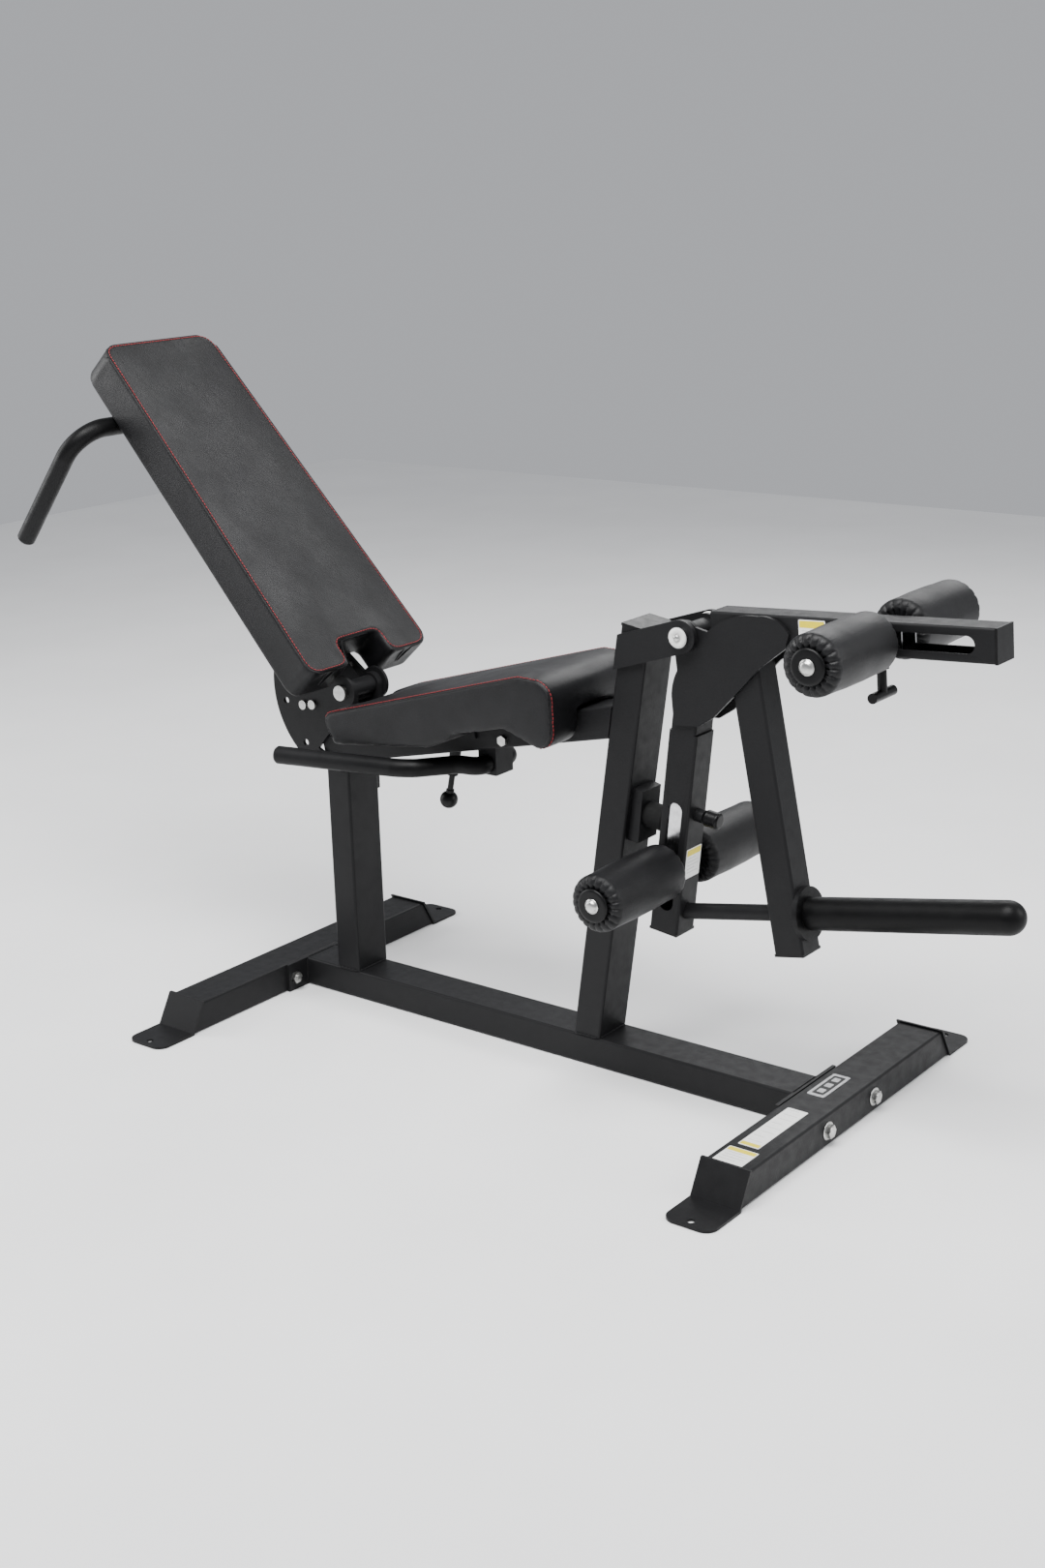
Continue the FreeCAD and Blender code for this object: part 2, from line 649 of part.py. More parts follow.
def make_housing(label, place, start, end):
    """Sleeve that guides a pull pin."""
    return round_bar(label, "Sizes.housing_radius", end - start,
                     place.multiply(FreeCAD.Placement(V(0, 0, start), FreeCAD.Rotation())), 0, "Sizes.pin_bore")


def wall_hole(body, height):
    """Pin hole in the front wall of a tube."""
    sketch = new_sketch(body, "YZ_Plane")
    draw_circle(sketch, "Sizes.pin_bore", 0, height)
    cut = body.newObject("PartDesign::Pocket", body.Name + "_pin_hole")
    cut.Profile = sketch
    cut.Reversed = True
    cut.setExpression("Length", "Sizes.arm_wide")


wall_hole(leg_tube, LEG_PIN)
wall_hole(top_arm, TOP_PIN)
leg_pin = pin_frame(LEG, LEG_PIN)
top_pin = pin_frame(TOP, TOP_PIN)
keep(group("lever_pin_housings", [make_housing("leg_pin_housing", leg_pin, WALL, WALL + 14),
                                  make_housing("top_pin_housing", top_pin, WALL, WALL + 22)]))
tip = size("slider_wide") / 2 + 0.4
keep(turned("leg_pull_pin", [(0, tip), (pin, tip), (pin, 41), (9, 41), (13, 46, 12.3, 42.3), (13, 60),
                             (9, 66, 12.3, 64.3), (0, 66)], leg_pin))
t_pin = turned("top_pull_pin", [(0, tip), (pin, tip), (pin, 50), (7, 50), (7, 84), (0, 84)], top_pin)
t_grip = new_sketch(t_pin, "XZ_Plane")
draw_circle(t_grip, "7.5 mm", 0, 84)
pad(t_pin, t_grip, "60 mm", True)
keep(t_pin)

# ---- bumper ------------------------------------------------------------------------------------

BUMP_UP = 169.4
BUMP_THICK = 35
bump_face = along(LEG, BUMP_UP, -WALL - 0.3)
bump_back = along(LEG, BUMP_UP, -WALL - 0.3 - BUMP_THICK)
leg_front = LEG.Rotation.multVec(V(1, 0, 0))
leg_up = LEG.Rotation.multVec(V(0, 0, 1))


def post_front(z):
    """X of the front post's front face at a height."""
    return (size("front_post_x") + size("beam_high") / 2 / math.cos(LEAN)
            + math.tan(LEAN) * (z - size("foot_high")))


bracket_low = bump_back - leg_up * 42
bracket_high = bump_back + leg_up * 42
keep(plate("bumper_bracket", [(post_front(392), 392), (bracket_low.x, bracket_low.z),
                              (bracket_high.x, bracket_high.z), (post_front(477), 477)], "50 mm",
           FreeCAD.Placement()))
keep(turned("rubber_bumper", [(0, 0), (20, 0), (20, BUMP_THICK - 5),
                              (15, BUMP_THICK, 18.5, BUMP_THICK - 1.5), (0, BUMP_THICK)],
            placed(tuple(bump_back), tuple(leg_up * -1), tuple(leg_front))))

# ---- backrest ----------------------------------------------------------------------------------

PAD_TILT = math.radians(size("pad_angle"))
PAD_WAY = V(-math.cos(PAD_TILT), 0, math.sin(PAD_TILT))
PAD_OUT = V(math.sin(PAD_TILT), 0, math.cos(PAD_TILT))
PAD_REF = V(size("pad_x"), 0, size("pad_z"))
HINGE = V(size("hinge_x"), 0, size("hinge_z"))
PAD_REAR = -70


def pad_frame(depth):
    """Frame on the backrest: X up the pad, Z out of its front."""
    return placed(tuple(PAD_REF + PAD_OUT * depth), tuple(PAD_WAY), tuple(PAD_OUT))


hinge_ears = []
for end, way in (("near", -1), ("far", 1)):
    ear_low = [(-25, beam_over(size("hinge_x") - 25) - size("hinge_z")),
               (20, beam_over(size("hinge_x") + 20) - size("hinge_z"))]
    ear_shape = ear_low + [(20, 0), (-20, 0, 0, 20)]
    hinge_ears.append(plate("hinge_ear_" + end, ear_shape, "Sizes.hinge_ear_thick",
                            FreeCAD.Placement(V(size("hinge_x"), way * 31.5, size("hinge_z")),
                                              FreeCAD.Rotation()),
                            [(0, 0, "Sizes.hinge_bolt_radius + 0.05")]))
keep(group("hinge_ears", hinge_ears))

BAR_SPOT = polar(62.8, 158.5)
BOLT_SPOTS = [(-89, -32.7), (-68, -29.7)]
LOCK_ANGLE = 258.8
HORN_OUT = 145
HORN_IN = 122
sector = size("sector_radius")
hub = 28


def arc_to(radius, degrees, middle):
    return polar(radius, degrees) + polar(radius, middle)


sector_outline = [polar(sector, 143), arc_to(sector, 232, 187.5),
                  polar(HORN_OUT, 238), arc_to(HORN_OUT, 262, 250),
                  polar(HORN_IN, 262) + polar((HORN_OUT + HORN_IN) / 2, 266.8), arc_to(HORN_IN, 240, 251),
                  polar(hub, 290), arc_to(hub, 143, 36.5)]
sector_holes = [(0, 0, "Sizes.hinge_bolt_radius + 0.05"), BAR_SPOT + ("Sizes.cross_bar_radius + 0.05",)]
sector_holes += [spot + ("5.05 mm",) for spot in BOLT_SPOTS]
sector_holes += [polar(size("hole_circle"), angle) + ("6 mm",) for angle in (LOCK_ANGLE, 228, 193.3)]
for end, way in (("near", -1), ("far", 1)):
    middle = way * (size("sector_inner_y") + size("sector_thick") / 2)
    place = FreeCAD.Placement(V(size("hinge_x"), middle, size("hinge_z")), FreeCAD.Rotation())
    keep(plate("sector_plate_" + end, sector_outline, "Sizes.sector_thick", place, sector_holes))

sector_face = size("sector_inner_y") + size("sector_thick")
hinge_bolt = turned("hinge_bolt", [(0, -sector_face - 7), (13, -sector_face - 7), (13, -sector_face),
                                   (size("hinge_bolt_radius"), -sector_face),
                                   (size("hinge_bolt_radius"), sector_face), (13, sector_face),
                                   (13, sector_face + 7), (0, sector_face + 7)],
                    across_at(size("hinge_x"), size("hinge_z")))
barrel = new_body("hinge_barrel", across_at(size("hinge_x"), size("hinge_z")))
barrel_ring = new_sketch(barrel)
draw_circle(barrel_ring, "Sizes.grip_radius")
draw_circle(barrel_ring, "Sizes.hinge_bolt_radius + 0.05")
pad(barrel, barrel_ring, "Sizes.back_tube_wide", True)
keep(barrel)

bar_radius = size("cross_bar_radius")
cross_bars = [hinge_bolt, turned("back_cross_bar", [(0, -sector_face), (bar_radius, -sector_face),
                                                    (bar_radius, sector_face), (0, sector_face)],
                                 across_at(size("hinge_x") + BAR_SPOT[0], size("hinge_z") + BAR_SPOT[1]))]

# Short rivets: they end flush inside each plate, so they pass beside the hinge ears and the beam.
RIVET_HEAD = 5
for index, (x, z) in enumerate(BOLT_SPOTS):
    for end, way in (("near", -1), ("far", 1)):
        inner = way * size("sector_inner_y")
        face = way * sector_face
        top = way * (sector_face + RIVET_HEAD)
        cross_bars.append(turned("sector_rivet_%s_%d" % (end, index),
                                 [(0, inner), (5, inner), (5, face), (8, face), (8, top), (0, top)],
                                 across_at(size("hinge_x") + x, size("hinge_z") + z)))
keep(group("sector_cross_bars", cross_bars))

TUBE_MIDDLE = PAD_REAR - size("back_tube_deep") / 2
TUBE_START = -45
tube_foot = PAD_REF + PAD_OUT * TUBE_MIDDLE + PAD_WAY * TUBE_START
tube_frame = placed(tuple(tube_foot), tuple(PAD_OUT), tuple(PAD_WAY))
back_tube = tube("back_tube", "back_tube_deep", "back_tube_wide", size("back_tube_length"), tube_frame)
for spot, radius in ((HINGE, "Sizes.grip_radius + 0.1"),
                     (HINGE + V(BAR_SPOT[0], 0, BAR_SPOT[1]), "Sizes.cross_bar_radius + 0.05"),
                     (PAD_REF + PAD_WAY * 583 - PAD_OUT * 87, "Sizes.grip_radius + 0.1")):
    local = tube_frame.inverse().multVec(spot)
    holes_across(back_tube, "XZ_Plane", [(local.x, local.z)], radius)
keep(back_tube)

PAD_LOW = -9
PAD_HIGH = 690
PAD_TAPER = (149, 127)
NOTCH = (50, 48)


def pad_outline(inset):
    """Tapered backrest outline with the notch at its lower end, inset all round."""
    low = PAD_LOW + inset
    high = PAD_HIGH - inset
    wide_low = PAD_TAPER[0] - inset
    wide_high = PAD_TAPER[1] - inset
    notch_wide = NOTCH[0] + inset
    notch_top = PAD_LOW + NOTCH[1] + inset
    half = [(low, wide_low, 22), (high, wide_high, 34 - inset)]
    upper = [(low, notch_wide, 12)] + half
    lower = [(x, -y, r) for x, y, r in reversed(upper)]
    return rounded(upper + lower + [(notch_top, -notch_wide, 8), (notch_top, notch_wide, 8)])


BOARD_INSET = 16
back_board = new_body("back_board", pad_frame(PAD_REAR))
board_sketch = new_sketch(back_board)
draw_outline(board_sketch, pad_outline(BOARD_INSET))
pad(back_board, board_sketch, "Sizes.board_thick")
back_pad = new_body("back_pad", pad_frame(PAD_REAR))
pad_sketch = new_sketch(back_pad)
draw_outline(pad_sketch, pad_outline(0))
pad(back_pad, pad_sketch, "Sizes.back_pad_thick")
recess = new_sketch(back_pad)
draw_outline(recess, pad_outline(BOARD_INSET))
pocket(back_pad, recess, "2 * Sizes.board_thick")
keep(back_board, back_pad)

grip_drop = math.radians(size("grip_drop"))
grip_way = PAD_OUT * -math.cos(grip_drop) - PAD_WAY * math.sin(grip_drop)
grip_frame = placed(tuple(PAD_REF + PAD_WAY * 583 - PAD_OUT * 87), tuple(grip_way),
                    tuple(V(0, 1, 0).cross(grip_way) * -1))
back_grips = new_body("back_handles", grip_frame)
grip_end = (size("grip_reach"), -size("grip_y"))
grip_path = bent_path([(0, 0), (0, -size("grip_y")), grip_end], [size("grip_bend")])
grip_half = pipe(back_grips, "Sizes.grip_radius", grip_path, "XY_Plane", "XZ_Plane", "2.5")
mirror(back_grips, grip_half)
keep(back_grips)


def plugs(label, frame, ends, radius):
    """Domed plastic plugs in the open ends of a bent tube."""
    members = []
    for index, (x, y, turn) in enumerate(ends):
        spot = frame.multVec(V(x, y, 0))
        way = frame.Rotation.multVec(V(*polar(1, turn), 0))
        side_way = frame.Rotation.multVec(V(0, 0, 1))
        inner = radius - 2.6
        members.append(turned("%s_%d" % (label, index),
                              [(0, -15), (inner, -15), (inner, 0), (radius, 0), (radius - 2, 3), (0, 4)],
                              placed(tuple(spot), tuple(side_way), tuple(way))))
    return group(label, members)


keep(plugs("back_handle_plugs", grip_frame, [(size("grip_reach"), size("grip_y"), 0),
                                             (size("grip_reach"), -size("grip_y"), 0)],
           size("grip_radius")))

# ---- backrest lock pin on the rear post --------------------------------------------------------

lock_x = HINGE.x + polar(size("hole_circle"), LOCK_ANGLE)[0]
lock_z = HINGE.z + polar(size("hole_circle"), LOCK_ANGLE)[1]
side_face = size("beam_wide") / 2
lock_body = new_body("lock_pin_bracket", placed((lock_x, 0, 0), (0, 1, 0), (0, 0, 1)))
lock_profile = new_sketch(lock_body, "XZ_Plane")
draw_outline(lock_profile, [(side_face, 362), (52, 362), (52, 438), (46, 438), (46, 388), (side_face, 388)])
pad(lock_body, lock_profile, "30 mm", True)
lock_hole = new_sketch(lock_body, "YZ_Plane")
draw_circle(lock_hole, "Sizes.pin_bore", 0, lock_z)
pocket(lock_body, lock_hole)
lock_sleeve = make_housing("lock_pin_sleeve", across_at(lock_x, lock_z), 52, 64)

# ---- seat --------------------------------------------------------------------------------------

saddle_start = beam_frame.inverse().multVec(V(-203, 0, beam_over(-203))).z
saddle_end = beam_frame.inverse().multVec(V(-92, 0, beam_over(-92))).z
half_high = size("beam_high") / 2
gap = size("saddle_gap")
skin = size("saddle_thick")
outer_y = side_face + gap + skin
saddle_shift = FreeCAD.Placement(V(0, 0, saddle_start), FreeCAD.Rotation())
saddle = new_body("seat_saddle", beam_frame.multiply(saddle_shift))
saddle_sketch = new_sketch(saddle)
top_in = half_high + gap
draw_outline(saddle_sketch, [(top_in - 30, side_face + gap), (top_in - 30, outer_y), (top_in + skin, outer_y),
                             (top_in + skin, -outer_y), (top_in - 30, -outer_y), (top_in - 30, -side_face - gap),
                             (top_in, -side_face - gap), (top_in, side_face + gap)])
pad(saddle, saddle_sketch, "%g mm" % (saddle_end - saddle_start))
keep(saddle)

board_low = top_in + skin
board_high = board_low + size("board_thick")
board_span = (beam_frame.inverse().multVec(V(-306, 0, beam_over(-306))).z,
              beam_frame.inverse().multVec(V(10, 0, beam_over(10))).z)
board_profile = [(board_low, board_span[0]), (board_high, board_span[0]), (board_high, board_span[1]),
                 (board_low, board_span[1])]
seat_board = new_body("seat_board", beam_frame)
seat_board_sketch = new_sketch(seat_board, "XZ_Plane")
draw_outline(seat_board_sketch, board_profile)
pad(seat_board, seat_board_sketch, "200 mm", True)
keep(seat_board)

seat_outline = [(-328, 487), (-126, 512), (-83, 530), (-79, 542), (-40, 549), (28, 566), (37, 563), (95, 543),
                (125, 573, 117, 552), (124, 621), (90, 652, 116, 642), (60, 653), (-334, 543),
                (-348, 528, -344, 537)]
seat_pad = plate("seat_pad", seat_outline, "2 * Sizes.seat_half_wide", FreeCAD.Placement())
doc.recompute()
channel = new_sketch(seat_pad, "XZ_Plane")


def beam_point(front, height):
    spot = beam_frame.multVec(V(front, 0, height))
    return spot.x, spot.z


draw_outline(channel, [beam_point(-60, -60), beam_point(board_low, -60), beam_point(board_low, 700),
                       beam_point(-60, 700)])
pocket(seat_pad, channel, "100 mm")
recess = new_sketch(seat_pad, "XZ_Plane")
draw_outline(recess, [beam_point(*point) for point in board_profile])
pocket(seat_pad, recess, "200 mm")

# Notch in the rear end, where the sector plates and the back tube swing through when the backrest is low.
NOTCH_FRONT = -311
rear_notch = new_sketch(seat_pad, "XZ_Plane")
draw_outline(rear_notch, [(-360, 470), (NOTCH_FRONT, 470), (NOTCH_FRONT, 570), (-360, 570)])
pocket(seat_pad, rear_notch, "100 mm")
keep(seat_pad)

# seat handle: one bent tube under the beam, held in a block
grip_x = -80
grip_z = size("seat_grip_z")
handle_frame = FreeCAD.Placement(V(grip_x, 0, grip_z), FreeCAD.Rotation())
seat_handle = new_body("seat_handle", handle_frame)
handle_route = [(0, 0), (0, -42), (-38, -48), (-84, -104), (-110, -118), (-329, -164)]
handle_path = bent_path(handle_route, [20, 30, 34, 60])
handle_half = pipe(seat_handle, "Sizes.seat_grip_radius", handle_path, "XY_Plane", "XZ_Plane", "2.5")
mirror(seat_handle, handle_half)
keep(seat_handle)
last_turn = math.degrees(math.atan2(-164 + 118, -329 + 110))
keep(plugs("seat_handle_plugs", handle_frame, [(-329, -164, last_turn), (-329, 164, -last_turn)],
           size("seat_grip_radius")))
keep(plate("seat_handle_block", [(-98, 452), (-62, 452), (-62, beam_under(-62)), (-98, beam_under(-98))],
           "44 mm", FreeCAD.Placement(), [(grip_x, grip_z, "Sizes.seat_grip_radius + 0.05")]))

# seat pull pin with its ball knob, under the beam
ball = size("ball_radius")
knob_frame = side_frame(-182.5, 387.4, 12.12)
knob_end = 92.7
seat_housing = round_bar("seat_pin_housing", "9.5 mm", knob_end - 46,
                         knob_frame.multiply(FreeCAD.Placement(V(0, 0, 46), FreeCAD.Rotation())),
                         12.12 + size("beam_slope"), "Sizes.pin_bore")
halfway = ball * math.sqrt(0.5)
keep(turned("seat_pull_pin", [(0, -ball), (ball, 0, halfway, -halfway), (7, 13.3, 12.2, 8.7), (7, 18),
                              (pin, 18), (pin, 84), (0, 84)], knob_frame))
keep(group("frame_pin_housings", [lock_body, lock_sleeve, seat_housing]))
keep(turned("back_lock_pin", [(0, 44.4), (pin, 44.4), (pin, 67), (9, 67), (14, 72, 13, 68), (14, 84),
                              (9, 89, 13, 88), (0, 89)], across_at(lock_x, lock_z)))

# ---- labels ------------------------------------------------------------------------------------

LABEL = 0.5
foot_top = size("foot_high")
keep(group("foot_labels", [block("foot_label_large", (518, -223, foot_top), (552, -83, foot_top + LABEL)),
                           block("foot_label_small", (513, -284, foot_top), (561, -235, foot_top + LABEL)),
                           block("foot_badge", (515, -26, foot_top), (545, 57, foot_top + LABEL))]))
keep(group("lever_labels", [block("leg_label", (WALL, -18, 91), (WALL + LABEL, 25, 140), LEG),
                            block("arm_label", (-21, -WALL - LABEL, 147), (21, -WALL, 190), TOP)]))

# ---- checks and files --------------------------------------------------------------------------

doc.recompute()
for item in doc.Objects:
    if "Invalid" in item.State or "Error" in item.State:
        raise RuntimeError("failed feature: %s %s" % (item.Label, item.State))
os.makedirs("parts", exist_ok=True)
for item in parts:
    shape = item.Shape
    if shape.isNull() or not shape.isValid() or not shape.Solids:
        raise RuntimeError("bad shape: " + item.Label)
    shape.exportStep("parts/%s.step" % item.Label)
print(len(parts), "nodes")
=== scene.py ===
import json
import math
import bmesh
import bpy
from mathutils import Matrix, Vector
from mathutils.bvhtree import BVHTree


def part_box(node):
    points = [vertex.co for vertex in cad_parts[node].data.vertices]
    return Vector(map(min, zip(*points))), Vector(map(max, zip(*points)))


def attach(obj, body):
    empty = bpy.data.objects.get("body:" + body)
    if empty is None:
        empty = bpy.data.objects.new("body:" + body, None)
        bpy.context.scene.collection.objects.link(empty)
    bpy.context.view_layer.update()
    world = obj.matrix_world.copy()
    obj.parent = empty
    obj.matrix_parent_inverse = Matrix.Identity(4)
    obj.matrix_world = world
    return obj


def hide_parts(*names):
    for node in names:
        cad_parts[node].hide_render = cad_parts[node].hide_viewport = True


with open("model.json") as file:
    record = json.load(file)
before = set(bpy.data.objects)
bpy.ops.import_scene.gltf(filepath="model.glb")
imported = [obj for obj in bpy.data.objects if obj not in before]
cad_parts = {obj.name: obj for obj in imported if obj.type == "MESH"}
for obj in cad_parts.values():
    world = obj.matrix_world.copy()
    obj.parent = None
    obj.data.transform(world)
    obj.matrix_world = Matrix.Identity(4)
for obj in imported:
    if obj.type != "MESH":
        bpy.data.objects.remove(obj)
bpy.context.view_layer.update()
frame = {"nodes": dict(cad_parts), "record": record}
scene = bpy.context.scene
NODES = frame["nodes"]

# ---- places, in metres, in the same frame as the CAD model -------------------------------------

PAD_TILT = math.radians(47.5)
PAD_WAY = Vector((-math.cos(PAD_TILT), 0, math.sin(PAD_TILT)))
PAD_OUT = Vector((math.sin(PAD_TILT), 0, math.cos(PAD_TILT)))
PAD_REF = Vector((-0.3435, 0, 0.6157))
PAD_LOW = -0.009
PAD_HIGH = 0.690
PAD_WIDE_LOW = 0.149
PAD_WIDE_HIGH = 0.127
PAD_THICK = 0.070
NOTCH_WIDE = 0.050
NOTCH_TOP = 0.039
SEAT_HALF = 0.122
SEAT_SIDE = [(-0.330, 0.500), (-0.348, 0.528), (-0.334, 0.543), (-0.15, 0.594), (0.060, 0.653), (0.090, 0.652),
             (0.116, 0.642), (0.124, 0.621), (0.125, 0.573), (0.117, 0.552), (0.095, 0.543)]


# ---- materials ---------------------------------------------------------------------------------

def new_material(name, color, rough, metallic=0.0):
    """Material with its principled shader and object coordinates."""
    material = bpy.data.materials.new(name)
    material.use_nodes = True
    tree = material.node_tree
    shader = tree.nodes["Principled BSDF"]
    shader.inputs["Base Color"].default_value = (*color, 1)
    shader.inputs["Roughness"].default_value = rough
    shader.inputs["Metallic"].default_value = metallic
    place = tree.nodes.new("ShaderNodeTexCoord")
    return material, tree, shader, place.outputs["Object"]


def noise(tree, place, scale, detail=4.0, stretch=None):
    """Noise factor, its coordinates stretched when asked."""
    node = tree.nodes.new("ShaderNodeTexNoise")
    node.inputs["Scale"].default_value = scale
    node.inputs["Detail"].default_value = detail
    if stretch:
        mapping = tree.nodes.new("ShaderNodeMapping")
        mapping.inputs["Scale"].default_value = stretch
        tree.links.new(place, mapping.inputs["Vector"])
        place = mapping.outputs["Vector"]
    tree.links.new(place, node.inputs["Vector"])
    return node.outputs["Fac"]


def cells(tree, place, scale):
    """Distance to the nearest of many scattered points."""
    node = tree.nodes.new("ShaderNodeTexVoronoi")
    node.feature = "F1"
    node.inputs["Scale"].default_value = scale
    tree.links.new(place, node.inputs["Vector"])
    return node.outputs["Distance"]


def ramp(tree, source, low, high, start=0.3, end=0.7):
    """Grey or colour ramp of a factor."""
    node = tree.nodes.new("ShaderNodeValToRGB")
    first, last = node.color_ramp.elements
    first.position = start
    last.position = end
    first.color = (*low, 1) if isinstance(low, tuple) else (low, low, low, 1)
    last.color = (*high, 1) if isinstance(high, tuple) else (high, high, high, 1)
    tree.links.new(source, node.inputs["Fac"])
    return node.outputs["Color"]


def bump(tree, shader, height, distance, strength=1.0, before=None):
    """Adds a bump on the shader, on top of an earlier one."""
    node = tree.nodes.new("ShaderNodeBump")
    node.inputs["Distance"].default_value = distance
    node.inputs["Strength"].default_value = strength
    tree.links.new(height, node.inputs["Height"])
    if before:
        tree.links.new(before, node.inputs["Normal"])
    tree.links.new(node.outputs["Normal"], shader.inputs["Normal"])
    return node.outputs["Normal"]


def worn_edges(tree, base, bright, strength):
    """Mixes a brighter colour into a base colour where the surface turns sharply."""
    geometry = tree.nodes.new("ShaderNodeNewGeometry")
    edge = ramp(tree, geometry.outputs["Pointiness"], 0.0, strength, 0.515, 0.60)
    mix = tree.nodes.new("ShaderNodeMix")
    mix.data_type = "RGBA"
    tree.links.new(edge, mix.inputs["Factor"])
    tree.links.new(base, mix.inputs["A"])
    mix.inputs["B"].default_value = (*bright, 1)
    return mix.outputs["Result"]


def powder_coat():
    """Fine-textured black powder coat with faint dusty patches and lighter edges."""
    material, tree, shader, place = new_material("powder_coat", (0.003, 0.003, 0.0032), 0.42)
    shader.inputs["Specular IOR Level"].default_value = 0.13
    patches = ramp(tree, noise(tree, place, 9.0), (0.0016, 0.0016, 0.0017), (0.0030, 0.0030, 0.0032))
    tree.links.new(worn_edges(tree, patches, (0.016, 0.016, 0.017), 0.5), shader.inputs["Base Color"])
    tree.links.new(ramp(tree, noise(tree, place, 60.0), 0.36, 0.50), shader.inputs["Roughness"])
    orange = bump(tree, shader, noise(tree, place, 420.0, 2.0), 0.0005, 0.35)
    bump(tree, shader, noise(tree, place, 1500.0, 1.0), 0.0002, 0.35, orange)
    return material


def leather(name, low=(0.0020, 0.0020, 0.0024), high=(0.0042, 0.0042, 0.0050)):
    """Black upholstery leather: pebble grain, soft creases, uneven gloss."""
    material, tree, shader, place = new_material(name, high, 0.45)
    shader.inputs["Specular IOR Level"].default_value = 0.26
    tree.links.new(ramp(tree, noise(tree, place, 26.0, 5.0), low, high), shader.inputs["Base Color"])
    tree.links.new(ramp(tree, noise(tree, place, 14.0, 6.0), 0.40, 0.56), shader.inputs["Roughness"])
    crease = bump(tree, shader, noise(tree, place, 45.0, 6.0), 0.0011, 0.35)
    pebble = bump(tree, shader, cells(tree, place, 620.0), 0.0005, 0.45, crease)
    bump(tree, shader, noise(tree, place, 1900.0, 2.0), 0.0001, 0.5, pebble)
    return material


def metal(name, color, rough, brushed):
    """Plated steel with fine drawing marks and uneven gloss."""
    material, tree, shader, place = new_material(name, color, rough, 1.0)
    dull = tuple(value * 0.72 for value in color)
    tree.links.new(ramp(tree, noise(tree, place, 130.0, 5.0), dull, color), shader.inputs["Base Color"])
    tree.links.new(ramp(tree, noise(tree, place, 90.0), rough * 0.75, rough * 1.3), shader.inputs["Roughness"])
    bump(tree, shader, noise(tree, place, 900.0, 3.0, (1.0, brushed, 1.0)), 0.0001, 0.4)
    return material


def moulded(name, color, rough, grain):
    """Moulded plastic or rubber with a fine spark-eroded grain."""
    material, tree, shader, place = new_material(name, color, rough)
    light = tuple(value * 1.5 for value in color)
    if color[0] < 0.1:
        shader.inputs["Specular IOR Level"].default_value = 0.18
    tree.links.new(ramp(tree, noise(tree, place, 40.0), color, light), shader.inputs["Base Color"])
    tree.links.new(ramp(tree, noise(tree, place, 75.0), rough * 0.85, rough * 1.15), shader.inputs["Roughness"])
    bump(tree, shader, noise(tree, place, grain, 2.0), 0.0002, 0.5)
    return material


def stained_board():
    """Black-stained plywood with its grain along the board."""
    material, tree, shader, place = new_material("stained_board", (0.03, 0.027, 0.024), 0.7)
    grain = noise(tree, place, 60.0, 8.0, (1.0, 14.0, 1.0))
    tree.links.new(ramp(tree, grain, (0.016, 0.014, 0.012), (0.05, 0.043, 0.036)), shader.inputs["Base Color"])
    bump(tree, shader, grain, 0.0006, 0.5)
    return material


def printed(name, color, rough=0.35):
    """Printed vinyl: faint mottling and a soft gloss."""
    material, tree, shader, place = new_material(name, color, rough)
    dim = tuple(value * 0.9 for value in color)
    tree.links.new(ramp(tree, noise(tree, place, 160.0), dim, color), shader.inputs["Base Color"])
    tree.links.new(ramp(tree, noise(tree, place, 60.0), rough * 0.8, rough * 1.2), shader.inputs["Roughness"])
    bump(tree, shader, noise(tree, place, 500.0), 0.0001, 0.3)
    return material


def thread():
    """Twisted sewing thread."""
    material, tree, shader, place = new_material("red_thread", (0.33, 0.012, 0.016), 0.55)
    twist = noise(tree, place, 2500.0, 2.0)
    tree.links.new(ramp(tree, twist, (0.20, 0.006, 0.010), (0.42, 0.02, 0.026)), shader.inputs["Base Color"])
    bump(tree, shader, twist, 0.0002, 0.6)
    return material


COAT = powder_coat()
LEATHER = leather("pad_leather")
ZINC = metal("zinc_plate", (0.62, 0.62, 0.60), 0.30, 3.0)
CHROME = metal("polished_steel", (0.70, 0.70, 0.71), 0.16, 8.0)
PLASTIC = moulded("black_plastic", (0.0025, 0.0025, 0.0027), 0.36, 700.0)
RUBBER = moulded("black_rubber", (0.004, 0.004, 0.004), 0.72, 380.0)
NYLON = moulded("white_nylon", (0.62, 0.62, 0.60), 0.45, 500.0)
BOARD = stained_board()
WHITE = printed("label_white", (0.80, 0.80, 0.78))
YELLOW = printed("label_yellow", (0.74, 0.60, 0.0))
GREY = printed("label_grey", (0.38, 0.38, 0.38))
BADGE = metal("badge_foil", (0.42, 0.42, 0.43), 0.34, 30.0)
RED = thread()

BY_SLOT = {"black_powder_coat": COAT, "black_leather": LEATHER, "zinc_steel": ZINC, "chrome_steel": CHROME,
           "black_plastic": PLASTIC, "black_rubber": RUBBER, "plywood": BOARD, "white_label": WHITE}


def paint_cad_nodes():
    """Gives each CAD node the material of its slot; knobs and axle ends are moulded."""
    for entry in frame["record"]["subparts"]:
        node = NODES[entry["node"]]
        material = BY_SLOT[entry["material_slot"]]
        node.data.materials.clear()
        node.data.materials.append(material)
    for name in ("lower_axle", "upper_axle"):
        NODES[name].data.materials[0] = PLASTIC
    NODES["leg_pull_pin"].data.materials[0] = PLASTIC


# ---- mesh building -----------------------------------------------------------------------------

